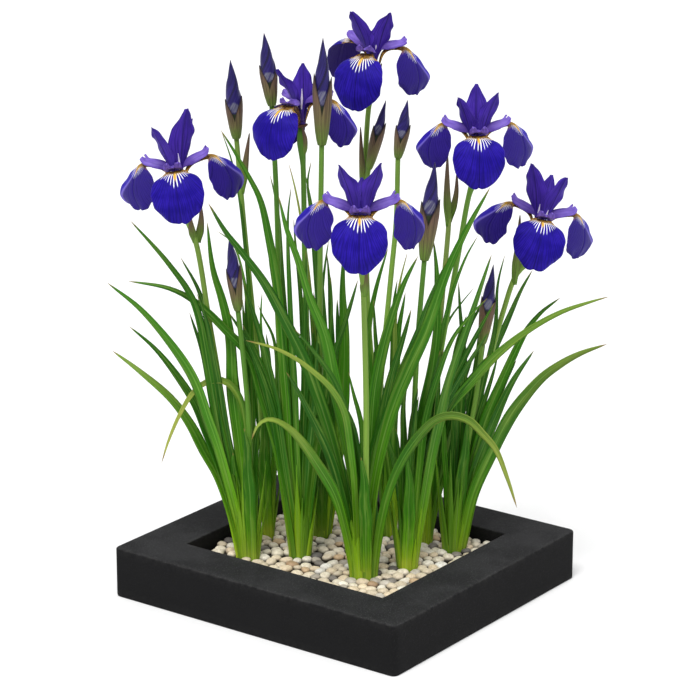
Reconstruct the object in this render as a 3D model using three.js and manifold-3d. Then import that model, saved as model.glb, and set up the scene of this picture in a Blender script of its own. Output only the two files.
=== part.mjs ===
// Potted Japanese iris: a square stone tray of pebbles with nine clumps of sword leaves,
// fourteen flower stems, six open flowers and eight buds.
// Millimetres, +Z up. The origin is the middle of the tray's underside.

import * as THREE from 'three';
import Module from 'manifold-3d';

const wasm = await Module();
wasm.setup();

// Driving dimensions
const TRAY_LENGTH = 394;
const TRAY_DEPTH = 360;
const TRAY_HEIGHT = 59;
const RIM_WIDTH = 59;
const TRAY_FLOOR = 12;
const TRAY_CORNER_RADIUS = 7;
const TRAY_EDGE_ROUND = 2;
const SOIL_TOP = 24;
const PEBBLE_TOP = 47;
const PEBBLE_HOLLOW = 6;
const PEBBLE_COLUMNS = 9;
const PEBBLE_ROWS = 8;
const CROWN_TOP = 57;
const CROWN_SIDES = 6;
const LEAST_CROWN_DEPTH = 6.8;
const SOCKET_SPREAD = 4;
const GAP = 0.3;
const STEM_RADIUS = 3;
const STEM_SIDES = 5;
const SWELLING_RADIUS = 5;
const STEM_TOP_RADIUS = 3;
const LEAF_THICKNESS = 1.8;
const PETAL_THICKNESS = 1.3;
const BRACT_THICKNESS = 1.2;

// Where the layout was read from: pixels of a square picture, seen from this place
const VIEW_AZIMUTH = THREE.MathUtils.degToRad(36.334);
const VIEW_ELEVATION = THREE.MathUtils.degToRad(17.327);
const VIEW_DISTANCE = 3515.3;
const VIEW_FOCAL = 2935.6;
const VIEW_MIDDLE = 348;
const VIEW_TARGET = new THREE.Vector3(-118.5, 164, 225);

const UP = new THREE.Vector3(0, 0, 1);
const RIGHT = new THREE.Vector3(Math.cos(VIEW_AZIMUTH), Math.sin(VIEW_AZIMUTH), 0);
const TOWARD = new THREE.Vector3(Math.sin(VIEW_AZIMUTH), -Math.cos(VIEW_AZIMUTH), 0);
const BACK = TOWARD.clone().multiplyScalar(Math.cos(VIEW_ELEVATION))
  .addScaledVector(UP, Math.sin(VIEW_ELEVATION));
const PICTURE_UP = new THREE.Vector3().crossVectors(BACK, RIGHT);
const EYE = VIEW_TARGET.clone().addScaledVector(BACK, VIEW_DISTANCE);

// Materials
const finish = (color, roughness) => new THREE.MeshStandardMaterial({ color, roughness, metalness: 0 });
const STONE = () => finish(0x2f2f31, 0.85);
const SOIL = () => finish(0x2b2119, 1);
const PEBBLE = () => finish(0xd9cfbd, 0.7);
const LEAF = () => finish(0x3f7a2c, 0.5);
const STEM = () => finish(0x7aa63c, 0.5);
const FALL = () => finish(0x3a22b0, 0.55);
const STANDARD = () => finish(0x4a2aa6, 0.55);
const STYLE = () => finish(0x8060c8, 0.55);
const BUD = () => finish(0x2a1c74, 0.5);

// Nine clumps: foot is the pixel where the leaves meet the pebbles, half is half their width there
const CLUMPS = {
  left_front: { foot: [249, 554], half: 14 },
  left_back: { foot: [269, 530.5], half: 6 },
  centre_left: { foot: [300.5, 552], half: 14.5 },
  centre_back: { foot: [322, 531], half: 11 },
  front: { foot: [362, 573], half: 16.5 },
  right_back: { foot: [389.5, 530], half: 9 },
  right_front: { foot: [407, 562.6], half: 13.5 },
  far_right_back: { foot: [427, 538], half: 6 },
  right: { foot: [452.5, 547], half: 14 },
};

// Each leaf: seen width at its foot in mm, lean of the tip toward the viewer in mm, turn of the
// blade in degrees, shift of the foot toward the viewer in mm, and its middle line in pixels from
// tip to foot
const LEAVES = {
  left_front: [
    [9.5, -70, 30, 0, 112, 351, 140, 371, 170, 398, 192, 427, 205, 452, 218, 476, 229, 505, 240, 554],
    [10, 45, -25, 3, 107, 283, 140, 308, 170, 343, 195, 382, 209, 421, 221, 458, 239, 525, 245, 554],
    [9, 45, 15, 1, 130, 221, 170, 265, 193, 300, 209, 370, 221, 435, 238, 510, 247, 554],
    [7, 30, 10, -2, 161.5, 463, 168, 441, 180, 414, 195, 391, 210, 381, 226, 381.5, 239, 396, 245, 430,
      247, 490, 249, 554],
    [11, 10, 15, 1, 207, 222, 213.5, 270, 222, 300, 230, 340, 234, 400, 243, 480, 250, 554],
    [12, -15, -10, -3, 263, 419, 258, 430, 254, 450, 252, 500, 253, 554],
    [4.5, -60, 30, -4, 221, 131, 232, 162, 240, 200, 246, 260, 251, 330, 253, 420, 254, 554],
  ],
  left_back: [
    [4.5, -30, 20, -2, 244.5, 311, 245.5, 350, 248, 390, 252, 430, 258, 470, 266, 530.5],
    [5, -70, -30, -2, 262.5, 292, 261, 320, 263, 370, 265, 440, 269, 530.5],
    [5.5, -12, 35, -2, 258, 305, 263, 316, 273, 336, 277, 380, 276, 430, 271, 530.5],
    [5, -100, 10, -3, 217, 231, 232, 243, 243, 275, 251, 330, 259, 400, 271, 530.5],
  ],
  centre_left: [
    [9.5, 30, 30, 4, 128, 281.5, 170, 288.5, 196, 302, 229, 334, 250, 357, 261, 390, 271, 425,
      281, 465, 293, 552],
    [10, 15, -15, 4, 243, 283, 253, 312, 262, 340, 270, 380, 277, 415, 284, 465, 297, 552],
    [10, 15, 15, 3, 220.5, 130, 236, 154, 250, 178, 260.5, 200, 269, 240, 279, 300, 285, 380,
      290, 460, 299, 552],
    [6, -50, -20, 2, 270, 175, 273, 188, 278, 215, 282, 265, 287, 350, 292, 450, 300, 552],
    [8.5, 55, 30, 5, 358, 280, 346, 318, 337, 347, 328, 385, 320, 430, 311, 490, 306, 552],
    [7, 15, 15, 2, 331, 277, 331, 310, 329, 350, 322, 410, 313, 470, 303, 552],
    [6, 20, -10, 2, 291.5, 187, 288.5, 215, 288, 260, 292, 340, 297, 450, 301, 552],
  ],
  centre_back: [
    [6.5, -20, 35, -2, 311.5, 161, 307.5, 182, 310, 210, 316, 270, 320, 340, 321, 430, 321, 531],
    [6, -70, -20, -3, 304, 168, 308, 186, 316, 235, 323, 300, 326, 400, 325, 531],
    [5, -45, 30, -2, 289, 163, 295, 188, 303, 235, 311, 300, 316, 400, 318, 531],
    [6, -95, 20, -4, 328.5, 240, 325, 268, 321, 310, 321, 400, 323, 531],
    [12, -10, -25, -2, 344, 248, 343, 290, 344, 340, 343, 400, 337, 460, 327, 531],
    [6, 30, 10, 2, 294, 219, 297, 260, 303, 330, 309, 420, 316, 531],
  ],
  front: [
    [12, 90, 25, 3, 208.5, 203, 226, 233, 245, 257, 265, 284, 287, 324, 305, 362, 319, 400, 331, 437,
      344, 490, 356, 573],
    [12, 35, -25, 0, 278.5, 196, 286, 228, 298, 260, 310, 298, 324, 334, 334, 382, 348, 440,
      356, 500, 361, 573],
    [6.5, 140, 20, 3, 246, 341, 274, 348, 297, 359, 315, 373, 330, 388, 344, 412, 351, 450, 356, 510,
      358, 573],
    [9.5, 110, 30, 5, 252, 440, 257, 427, 265, 420, 275, 420, 290, 429, 315, 461, 334, 492, 347, 535,
      354, 573],
    [12.5, -15, 20, -1, 418, 256, 405, 282, 393, 313, 383, 347, 376, 385, 372, 430, 367, 500, 364, 573],
    [12, 60, -30, 0, 490, 187, 469, 225, 446, 275, 426, 330, 408, 370, 392, 410, 379, 455, 370, 510,
      367, 573],
    [9, 70, 20, 5, 516.8, 507.7, 507.5, 480, 495, 448, 482, 432.5, 469, 420, 452, 415.5, 436, 420,
      416, 440, 400, 464, 387, 497, 378, 540, 374, 573],
    [7, -40, 10, -3, 349, 372, 354, 395, 361, 425, 364, 460, 366, 573],
  ],
  right_back: [
    [8, -20, -30, 1, 388, 248, 378, 280, 371, 315, 368, 350, 371, 390, 379, 450, 387, 530],
    [5, -55, 35, 0, 407.5, 252, 400, 280, 396, 310, 395, 350, 394, 420, 391, 530],
    [9.5, -70, 20, 2, 405, 292, 399, 330, 396, 370, 393, 430, 390, 530],
    [7, 15, -15, 3, 373, 300, 377, 350, 384, 430, 390, 480, 392, 530],
  ],
  right_front: [
    [8.5, 20, 15, -2, 407.5, 378, 404, 400, 403.5, 440, 403, 500, 402, 562.6],
    [11, 10, -10, 0, 433, 240, 437, 275, 438, 320, 432, 370, 423, 420, 415, 490, 410, 562.6],
    [9.5, 35, 30, 3, 492, 254.5, 477, 297, 461, 345, 447, 388, 436, 435, 425, 495, 414, 562.6],
    [6.5, 75, -20, 4, 487, 298, 470, 316, 453, 339, 438, 374, 426, 420, 417, 490, 413, 562.6],
    [9, -15, 15, 1, 609, 297, 590, 302.5, 560, 312.5, 530, 328.5, 500, 352, 470, 384, 445, 411,
      427, 447, 416, 500, 412, 562.6],
    [6, 5, 15, -1, 478, 236, 465, 260, 447, 310, 434, 380, 424, 440, 415, 520, 411, 562.6],
    [5.5, -70, 15, -4, 383, 405, 387, 430, 393, 460, 399, 490, 403, 562.6],
  ],
  far_right_back: [
    [9.5, -35, 25, 3, 533, 270, 520, 292, 501, 334, 482, 375, 462, 407, 450, 443, 438, 490, 428, 538],
    [4, 25, -20, 2, 474, 288, 461, 303, 449, 320, 441, 350, 437, 410, 432, 480, 426, 538],
  ],
  right: [
    [12, 55, 20, 4, 607, 344, 580, 354, 560, 364.5, 541, 378, 515, 410, 493, 450, 474, 492, 461, 547],
    [10.5, -14, -15, 0, 560, 297.5, 541, 313, 526, 332, 511, 360, 498, 390, 481, 435, 466, 495,
      458, 547],
    [8, -30, 30, -5, 458.5, 282, 461, 320, 464, 365, 461, 420, 455, 480, 450, 547],
    [6, -24, 15, -1, 505, 255, 498, 285, 495, 325, 484, 380, 470, 445, 457, 547],
    [6, -10, -35, 1, 443, 405, 444, 440, 446, 480, 449, 547],
  ],
};

// Open flowers: joint is the pixel where the petals meet, near is the distance of that joint in
// front of the tray's middle, roll and spin are in degrees, size is a scale. Each standard's tip is
// a pixel and a distance toward the viewer, then the azimuths of its foot and of its broad face;
// each fall has an azimuth and the turn of its blade in degrees and a droop in mm.
const FLOWERS = [
  {
    clump: 'left_front', root: -7, joint: [181, 191], near: 35, roll: -9, size: 0.94,
    falls: [[-3, 0, 0], [104, -49, 0], [-106, 58, 0]],
    standards: [[151, 128, 14, -63, -42], [187, 109, 6, 60, 12], [192, 119, -34, 179, 180]],
    stem: [[196, 243], [209, 320], [219, 380], [229, 455], [240, 520], [246, 554]],
    bracts: [[[190, 211], [191, 226], [195, 242], 6.5, 4], [[201, 204], [201, 222], [198, 243], 7, -3]],
  },
  {
    clump: 'centre_left', root: -6, joint: [301, 124], near: 15, roll: 0, size: 0.88,
    falls: [[-30, 0, 10], [88, -46, 10], [-158, 0, 22]],
    standards: [[276, 70, 12, -94, -60], [303, 63, -4, 31, 10], [320, 78, -24, 147, 132]],
    stem: [[303, 165], [304.5, 255], [306.5, 330], [305, 390], [303, 450], [302, 552]],
    bracts: [[[302, 126], [305, 140], [302, 158], 6, 4]],
  },
  {
    clump: 'right_back', root: -3, joint: [373, 72], near: -105, roll: 1, size: 0.93,
    falls: [[-19, 0, 10], [98, -46, 9], [-142, 0, 0]],
    standards: [[351, 12, 12, -80, -40], [390, 13, 12, 42, 25], [381, 26, -28, 161, 165]],
    stem: [[369, 105], [365, 175], [366, 250], [369, 330], [376, 400], [384, 470], [388, 530]],
    bracts: [[[382, 63], [378, 74], [371, 92], 6, 11], [[367, 63], [369, 76], [371, 92], 6, 24],
      [[360.5, 127], [361.5, 155], [364.5, 198], 6.5, 3]],
  },
  {
    clump: 'right_front', root: -6, joint: [476, 156], near: 28, roll: 0, size: 0.93,
    falls: [[3, 0, 0], [106, -50, 0], [-102, 56, 0]],
    standards: [[458, 98, 16, -58, -60], [476.5, 84, -26, 182, 180], [498.5, 93, 8, 63, 75]],
    stem: [[469, 195], [459, 250], [441, 350], [432, 405], [422, 455], [414, 510], [410, 562.6]],
    bracts: [],
  },
  {
    clump: 'right', root: -6, joint: [536, 238], near: -30, roll: 12, size: 0.93,
    falls: [[3, 0, 0], [106, -50, 0], [-102, 56, 0]],
    standards: [[532, 164, 6, -58, -15], [551.5, 175, -26, 183, 180], [567, 178, 10, 64, 75]],
    stem: [[516, 275], [503, 312], [490, 358], [480, 398], [471, 440], [462, 490], [457, 547]],
    bracts: [[[520, 215], [518, 248], [514, 284], 8, 6]],
  },
  {
    clump: 'front', root: 6, joint: [361, 237], near: 150, roll: 0, size: 1,
    falls: [[-2, 0, 0], [105, -48, 0], [-105, 58, 0]],
    standards: [[338.5, 165.5, 16, -62, -32], [381.5, 163.5, 16, 62, 32], [361.5, 178, -36, 180, 180]],
    stem: [[363, 285], [364.5, 330], [366, 400], [366, 470], [366, 573]],
    bracts: [[[366, 262], [365, 275], [364, 296], 8, 4]],
  },
];

// Buds: tip and base are pixels, fat is the greatest radius in mm, near is how far in front of the
// tray's middle the bud stands, split says how far up the two bracts part
const BUDS = [
  {
    clump: 'left_front', root: 5, near: 45, tip: [229.5, 235], base: [238, 312], fat: 7.6, split: 0.24, points: [0.57, 0.63],
    stem: [[244, 365], [249, 425], [250, 490], [252, 554]], bracts: [],
  },
  {
    clump: 'left_back', root: 3, near: -35, tip: [230.4, 60], base: [236.5, 140], fat: 9, split: 0.25, points: [0.52, 0.55],
    stem: [[243.5, 220], [251.5, 300], [258, 365], [262, 430], [268, 530.5]],
    bracts: [[[249.5, 133], [246, 160], [242, 193], 7, 4]],
  },
  {
    clump: 'centre_left', root: -3, near: -8, tip: [264, 33], base: [272, 107], fat: 8.8, split: 0.26, points: [0.58, 0.5],
    stem: [[276.5, 200], [279, 300], [283, 420], [290, 490], [295, 552]],
    bracts: [],
  },
  {
    clump: 'centre_back', root: 3, near: 55, tip: [323, 38], base: [321.6, 147], fat: 9.6, split: 0.3, points: [0.68, 0.65],
    stem: [[320, 270], [320.5, 400], [322, 531]], bracts: [],
  },
  {
    clump: 'front', root: -5, near: -25, tip: [407.6, 100], base: [397.5, 159], fat: 7.4, split: 0.28, points: [0.56, 0.6],
    stem: [[396, 222], [391, 275], [380, 390], [374, 470], [370, 573]], bracts: [],
  },
  {
    clump: 'right_front', root: 5, near: 62, tip: [435, 162], base: [424, 262], fat: 9.8, split: 0.4, points: [0.6, 0.64],
    stem: [[418, 335], [413.5, 420], [410, 500], [406.5, 562.6]], bracts: [],
  },
  {
    clump: 'right', root: 4, near: -10, tip: [493.5, 264.5], base: [482, 345], fat: 7.8, split: 0.36, points: [0.6, 0.58],
    stem: [[477, 390], [467, 450], [460, 500], [453, 547]], bracts: [],
  },
];

// The side bud on the third flower's stem
const SIDE_BUD = {
  near: -88, tip: [386, 100], base: [368.5, 170], fat: 6.4, split: 0.42, points: [0.62, 0.7],
  stalk: [365.6, 186], stalkNear: -96,
};

// The spent shoot: a stem that ends in two shut bracts
const SPENT_SHOOT = {
  clump: 'far_right_back', root: -3, near: -25, top: [448.8, 214],
  stem: [[448.6, 224], [442, 300], [437, 360], [433, 420], [431, 480], [427, 538]],
  bracts: [[[447.5, 153], [447, 195], [448.2, 226], 7, 3], [[457, 172], [456, 195], [449.5, 222], 6, -4]],
};

// The lone sprout by the right-hand wall
const SPROUT = { width: 2.4, trace: [471.5, 519, 469.6, 526, 468, 536] };

// Points of the layout

function rayThrough(pixelX, pixelY) {
  return BACK.clone().multiplyScalar(-VIEW_FOCAL)
    .addScaledVector(RIGHT, pixelX - VIEW_MIDDLE)
    .addScaledVector(PICTURE_UP, VIEW_MIDDLE - pixelY);
}

// The point behind a pixel on the upright plane that stands near mm in front of the tray's middle
function sight(pixelX, pixelY, near) {
  const ray = rayThrough(pixelX, pixelY);
  const distance = (near - TOWARD.dot(EYE)) / TOWARD.dot(ray);
  return EYE.clone().addScaledVector(ray, distance);
}

function sightOnLevel(pixelX, pixelY, level) {
  const ray = rayThrough(pixelX, pixelY);
  return EYE.clone().addScaledVector(ray, (level - EYE.z) / ray.z);
}

for (const clump of Object.values(CLUMPS)) {
  clump.centre = sightOnLevel(...clump.foot, PEBBLE_TOP);
  clump.near = TOWARD.dot(clump.centre);
}

// Closed skins over rings of points

function signedVolume(points, triangles) {
  let volume = 0;
  for (const [a, b, c] of triangles) {
    volume += points[a].dot(new THREE.Vector3().crossVectors(points[b], points[c]));
  }
  return volume / 6;
}

function solidOf(points, triangles) {
  const outward = signedVolume(points, triangles) > 0;
  const faces = triangles.flatMap(([a, b, c]) => (outward ? [a, b, c] : [a, c, b]));
  return new wasm.Manifold(new wasm.Mesh({
    numProp: 3,
    vertProperties: new Float32Array(points.flatMap((point) => [point.x, point.y, point.z])),
    triVerts: new Uint32Array(faces),
  }));
}

// From place turned on, each quad splits along its other diagonal
function bandBetween(lower, upper, turned, triangles) {
  const count = Math.max(lower.length, upper.length);
  for (let i = 0; i < count; i += 1) {
    const next = (i + 1) % count;
    const low = i < turned ? next : i;
    const high = i < turned ? i : next;
    if (lower.length > 1) triangles.push([lower[i], lower[next], upper[high % upper.length]]);
    if (upper.length > 1) triangles.push([lower[low % lower.length], upper[next], upper[i]]);
  }
}

// The two faces of a thin blade split along the same diagonals, so that they never cross
function bladeSkin(rings) {
  return skin(rings, rings[0].length / 2);
}

// Rings of equal counts; a ring of one point is a tip
function skin(rings, turned = Infinity) {
  const points = rings.flat();
  let start = 0;
  const places = rings.map((ring) => {
    const place = ring.map((_, i) => start + i);
    start += ring.length;
    return place;
  });
  const triangles = [];
  for (let i = 0; i + 1 < places.length; i += 1) bandBetween(places[i], places[i + 1], turned, triangles);
  const first = places[0];
  const last = places[places.length - 1];
  for (let i = 1; i + 1 < first.length; i += 1) triangles.push([first[0], first[i + 1], first[i]]);
  for (let i = 1; i + 1 < last.length; i += 1) triangles.push([last[0], last[i], last[i + 1]]);
  return solidOf(points, triangles);
}

function join(solids) {
  return solids.reduce((whole, solid) => whole.add(solid));
}

function largestPiece(solid, name) {
  const pieces = solid.decompose().sort((a, b) => b.volume() - a.volume());
  const loose = pieces.slice(1).reduce((sum, piece) => sum + piece.volume(), 0);
  if (loose > 2) throw new Error(`${name} falls apart: ${loose.toFixed(1)} cubic mm are loose`);
  return pieces[0];
}

function meshOf(name, solid, material) {
  const { vertProperties, triVerts } = solid.getMesh();
  const geometry = new THREE.BufferGeometry();
  geometry.setAttribute('position', new THREE.BufferAttribute(new Float32Array(vertProperties), 3));
  geometry.setIndex(new THREE.BufferAttribute(new Uint32Array(triVerts), 1));
  geometry.computeVertexNormals();
  const mesh = new THREE.Mesh(geometry, material);
  mesh.name = name;
  return mesh;
}

// Directions across a path: side lies in the picture plane, then both turn about the path
function crossDirections(tangent, turn) {
  const side = new THREE.Vector3().crossVectors(tangent, BACK).normalize();
  const face = new THREE.Vector3().crossVectors(side, tangent).normalize();
  side.applyAxisAngle(tangent, turn);
  face.applyAxisAngle(tangent, turn);
  return { side, face };
}

function pairsOf(numbers) {
  const pairs = [];
  for (let i = 0; i < numbers.length; i += 2) pairs.push([numbers[i], numbers[i + 1]]);
  return pairs;
}

// How far along a traced line, from 0 at its foot to 1 at its tip, each point lies
function sharesAlong(pairs) {
  const steps = pairs.map((pair, i) => (i === 0 ? 0 : Math.hypot(
    pair[0] - pairs[i - 1][0],
    pair[1] - pairs[i - 1][1],
  )));
  const total = steps.reduce((sum, step) => sum + step, 0);
  let run = 0;
  return steps.map((step) => {
    run += step;
    return 1 - run / total;
  });
}

// A line traced from tip to foot becomes a curve in space from foot to tip
function curveFromTrace(pairs, footNear, tipNear) {
  const shares = sharesAlong(pairs);
  const points = pairs.map(([x, y], i) => sight(x, y, footNear + (tipNear - footNear) * shares[i] ** 1.4));
  return new THREE.CatmullRomCurve3(points.reverse(), false, 'centripetal');
}

// Leaves

// A sword leaf keeps its width well past the middle and then narrows to its point
function leafShare(along) {
  if (along < 0.5) return 1 + 0.5 * along;
  return 1.25 * ((1 - along) / 0.5) ** 0.62;
}

function leafRing(curve, along, width, turn) {
  const { side, face } = crossDirections(curve.getTangentAt(along), turn);
  const middle = curve.getPointAt(along);
  const half = (0.5 * width * leafShare(along)) / Math.cos(turn);
  const keel = LEAF_THICKNESS * Math.min(1, 2.5 * (1 - along));
  return [
    middle.clone().addScaledVector(side, -half),
    middle.clone().addScaledVector(side, half),
    middle.clone().addScaledVector(face, -keel),
  ];
}

function leafAlong(curve, width, turn, sections) {
  const rings = [];
  for (let i = 0; i < sections; i += 1) {
    const along = (i / sections) ** 0.9;
    rings.push(leafRing(curve, along, width, turn));
  }
  rings.push([curve.getPointAt(1)]);
  return skin(rings);
}

// A leaf gets more sections the more it bends
function sectionsFor(curve) {
  let bend = 0;
  const steps = 12;
  for (let i = 1; i <= steps; i += 1) {
    bend += curve.getTangentAt(i / steps).angleTo(curve.getTangentAt((i - 1) / steps));
  }
  return Math.min(9, Math.round(2.66 + 2.3 * bend));
}

function leafSolid(clump, [width, lean, turn, shift, ...trace]) {
  const near = clump.near + shift;
  const curve = curveFromTrace(pairsOf(trace), near, near + lean);
  return leafAlong(curve, width, THREE.MathUtils.degToRad(turn), sectionsFor(curve));
}

// The crown is the short thick base that stands on the soil among the pebbles
function crownRing(clump, level, spread) {
  const half = 0.85 * clump.half + spread;
  const depth = Math.max(0.65 * clump.half, LEAST_CROWN_DEPTH) + spread;
  const ring = [];
  for (let i = 0; i < CROWN_SIDES; i += 1) {
    const angle = (2 * Math.PI * i) / CROWN_SIDES;
    const point = clump.centre.clone().setZ(level);
    point.addScaledVector(RIGHT, half * Math.cos(angle));
    point.addScaledVector(TOWARD, depth * Math.sin(angle));
    ring.push(point);
  }
  return ring;
}

function crownSolid(clump, bottom, top, spread) {
  return skin([crownRing(clump, bottom, spread), crownRing(clump, top, spread)]);
}

// Stems

function hexagonRing(middle, side, face, radius, sides) {
  return Array.from({ length: sides }, (_, i) => middle.clone()
    .addScaledVector(side, radius * Math.cos((2 * Math.PI * i) / sides))
    .addScaledVector(face, radius * Math.sin((2 * Math.PI * i) / sides)));
}

// Places along a stem from the soil to its top: each has a middle, directions and a radius
function stemPlaces(plant, top) {
  const clump = CLUMPS[plant.clump];
  const near = clump.near + plant.root;
  const topNear = TOWARD.dot(top[0]);
  const shares = sharesAlong(plant.stem);
  const lower = plant.stem.map(([x, y], i) => sight(x, y, near + (topNear - near) * shares[i]));
  const foot = lower[lower.length - 1].clone().setZ(SOIL_TOP + 2 * GAP);
  const curve = new THREE.CatmullRomCurve3([foot, ...lower.reverse(), ...top], false, 'centripetal');
  const last = curve.points.length - 1;
  return curve.points.map((middle, i) => ({
    middle,
    ...crossDirections(i === 0 ? UP : curve.getTangent(i / last), 0),
    radius: STEM_RADIUS * (1.12 - (0.18 * i) / last),
  }));
}

function ringsOf(places, extra, sides) {
  return places.map(({ middle, side, face, radius }) => (
    hexagonRing(middle, side, face, radius + extra, sides)
  ));
}

// How far in front of the tray's middle a stem stands where it passes the height of a pixel
function nearOnStem(places, [x, y]) {
  const level = sight(x, y, TOWARD.dot(places[places.length - 1].middle)).z;
  const above = Math.max(1, places.findIndex(({ middle }) => middle.z > level));
  const low = places[above - 1].middle;
  const high = places[above].middle;
  const share = (level - low.z) / (high.z - low.z);
  return TOWARD.dot(low.clone().lerp(high, share));
}

// A bract is a narrow pointed leaf held against the stem: tip, middle and foot pixels, width, shift
function bractSolid([tip, middle, foot, width, shift], places) {
  const near = nearOnStem(places, foot);
  const curve = curveFromTrace([tip, middle, foot], near, near + shift);
  const rings = [0, 0.35, 0.7].map((along) => {
    const { side, face } = crossDirections(curve.getTangentAt(along), 0);
    const half = 0.5 * width * (1 - 0.45 * along);
    const centre = curve.getPointAt(along);
    return [
      centre.clone().addScaledVector(side, -half),
      centre.clone().addScaledVector(face, -BRACT_THICKNESS),
      centre.clone().addScaledVector(side, half),
    ];
  });
  return skin([...rings, [curve.getPointAt(1)]]);
}

// Flowers

// The flower's own frame: x to the viewer's right, y away from the viewer, z along the stem
function flowerFrame(flower) {
  const frame = new THREE.Group();
  frame.position.copy(sight(...flower.joint, flower.near));
  frame.rotation.set(0, THREE.MathUtils.degToRad(flower.roll), VIEW_AZIMUTH, 'ZYX');
  frame.scale.setScalar(flower.size);
  frame.updateMatrixWorld(true);
  return frame;
}

function radialPoint(azimuth, radius, height, across) {
  return new THREE.Vector3(
    radius * Math.sin(azimuth) + across * Math.cos(azimuth),
    -radius * Math.cos(azimuth) + across * Math.sin(azimuth),
    height,
  );
}

// Petal cross-section: a thin lens across the petal, arched by cup mm, as a closed ring about
// its middle. The petal faces away from the flower's axis along face, an azimuth.
function petalRing(middle, face, normal, width, cup, thickness, steps) {
  const place = (share, lift) => radialPoint(
    face,
    normal[0] * (lift - cup * share * share),
    normal[1] * (lift - cup * share * share),
    0.5 * width * share,
  ).add(middle);
  const ring = [];
  for (let i = 0; i < steps; i += 1) {
    const share = -1 + (2 * i) / steps;
    ring.push(place(share, 0.5 * thickness * (1 - share * share)));
  }
  for (let i = 0; i < steps; i += 1) {
    const share = 1 - (2 * i) / steps;
    ring.push(place(share, -0.5 * thickness * (1 - share * share)));
  }
  return ring;
}

function normalsOf(line) {
  return line.map((_, i) => {
    const before = line[Math.max(0, i - 1)];
    const after = line[Math.min(line.length - 1, i + 1)];
    const length = Math.hypot(after[0] - before[0], after[1] - before[1]);
    return [-(after[1] - before[1]) / length, (after[0] - before[0]) / length];
  });
}

// Side view of a fall, out along its haft and down its blade, with the width and arch at each
// point. A fall whose blade turns round its haft hangs closer in than a straight one.
const FALL_LINE = [[3.5, -2], [13, 24], [34, 36], [57, 27], [68.5, -1], [65, -20]];
const TURNED_FALL_LINE = [[3.5, -2], [14, 26], [38, 38], [49, 28], [57, 3], [52, -18]];
const FALL_TURN = [0, 0.15, 0.6, 0.9, 1, 1];
const FALL_WIDTH = [3.4, 7, 21, 57, 59, 17];
const TURNED_FALL_WIDTH = [3.4, 7, 18, 45, 59, 22];
const FALL_ARCH = [0, 0, 3, 8, 9, 1];

function fallSolid([azimuthDegrees, turnDegrees, droop]) {
  const azimuth = THREE.MathUtils.degToRad(azimuthDegrees);
  const turn = THREE.MathUtils.degToRad(turnDegrees);
  const hand = turnDegrees < 0 ? -1 : 1;
  const form = turnDegrees === 0 ? FALL_LINE : TURNED_FALL_LINE;
  const width = turnDegrees === 0 ? FALL_WIDTH : TURNED_FALL_WIDTH;
  const line = form.map(([radius, height]) => [radius, height - (droop * Math.max(0, radius - 9)) / 55]);
  const normals = normalsOf(line);
  const rings = line.map(([radius, height], i) => petalRing(
    radialPoint(azimuth, radius, height, 0),
    azimuth + turn * FALL_TURN[i],
    normals[i],
    width[i] * hand,
    FALL_ARCH[i],
    PETAL_THICKNESS,
    3,
  ));
  return bladeSkin(rings);
}

// Side view of a style arm, arched over the fall's haft to its upturned crest
const STYLE_LINE = [[1.1, 16.5], [4.5, 28], [15, 37.5], [31, 42], [41.5, 45.5]];
const STYLE_WIDTH = [1.6, 4, 10, 18, 15];
const STYLE_ARCH = [0, 0, 2, 3, 0];

function styleSolid([azimuthDegrees, , droop]) {
  const azimuth = THREE.MathUtils.degToRad(azimuthDegrees);
  const line = STYLE_LINE.map(([radius, height]) => [radius, height - (droop * Math.max(0, radius - 9)) / 75]);
  const normals = normalsOf(line);
  const rings = line.map(([radius, height], i) => petalRing(
    radialPoint(azimuth, radius, height, 0),
    azimuth,
    normals[i],
    STYLE_WIDTH[i],
    STYLE_ARCH[i],
    PETAL_THICKNESS,
    2,
  ));
  return bladeSkin(rings);
}

// A standard rises between two style arms and its blade turns to its tip, which the picture gives
const STANDARD_SHARE = [0, 0.37, 0.57, 0.82];
const STANDARD_WIDTH = [2.4, 5, 28, 17];
const FULL_STANDARD_HEIGHT = 80;

function standardSolid(tip, footDegrees, faceDegrees) {
  const foot = THREE.MathUtils.degToRad(footDegrees);
  const face = THREE.MathUtils.degToRad(faceDegrees);
  const turn = Math.atan2(Math.sin(face - foot), Math.cos(face - foot));
  const curve = new THREE.QuadraticBezierCurve3(
    radialPoint(foot, 3.4, 1.5, 0),
    radialPoint(foot, 7, 0.55 * tip.z, 0),
    tip,
  );
  const breadth = Math.min(1, tip.z / FULL_STANDARD_HEIGHT);
  const rings = STANDARD_SHARE.map((share, i) => {
    const across = radialPoint(foot + turn * share, 0, 0, 1);
    const normal = new THREE.Vector3().crossVectors(across, curve.getTangent(share)).normalize();
    const centre = curve.getPoint(share);
    const half = 0.5 * STANDARD_WIDTH[i] * breadth;
    return [
      centre.clone().addScaledVector(across, -half).addScaledVector(normal, -0.2 * half),
      centre.clone().addScaledVector(normal, 0.5 * PETAL_THICKNESS),
      centre.clone().addScaledVector(across, half).addScaledVector(normal, -0.2 * half),
      centre.clone().addScaledVector(normal, -0.5 * PETAL_THICKNESS),
    ];
  });
  return bladeSkin([...rings, [tip]]);
}

// A short upright prism at the flower's middle, with a corner toward each of its three petals
function hub(azimuthDegrees, radius, bottom, top) {
  const ring = (level) => [0, 120, 240].map((step) => (
    radialPoint(THREE.MathUtils.degToRad(azimuthDegrees + step), radius, level, 0)
  ));
  return skin([ring(bottom), ring(top)]);
}

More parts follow.
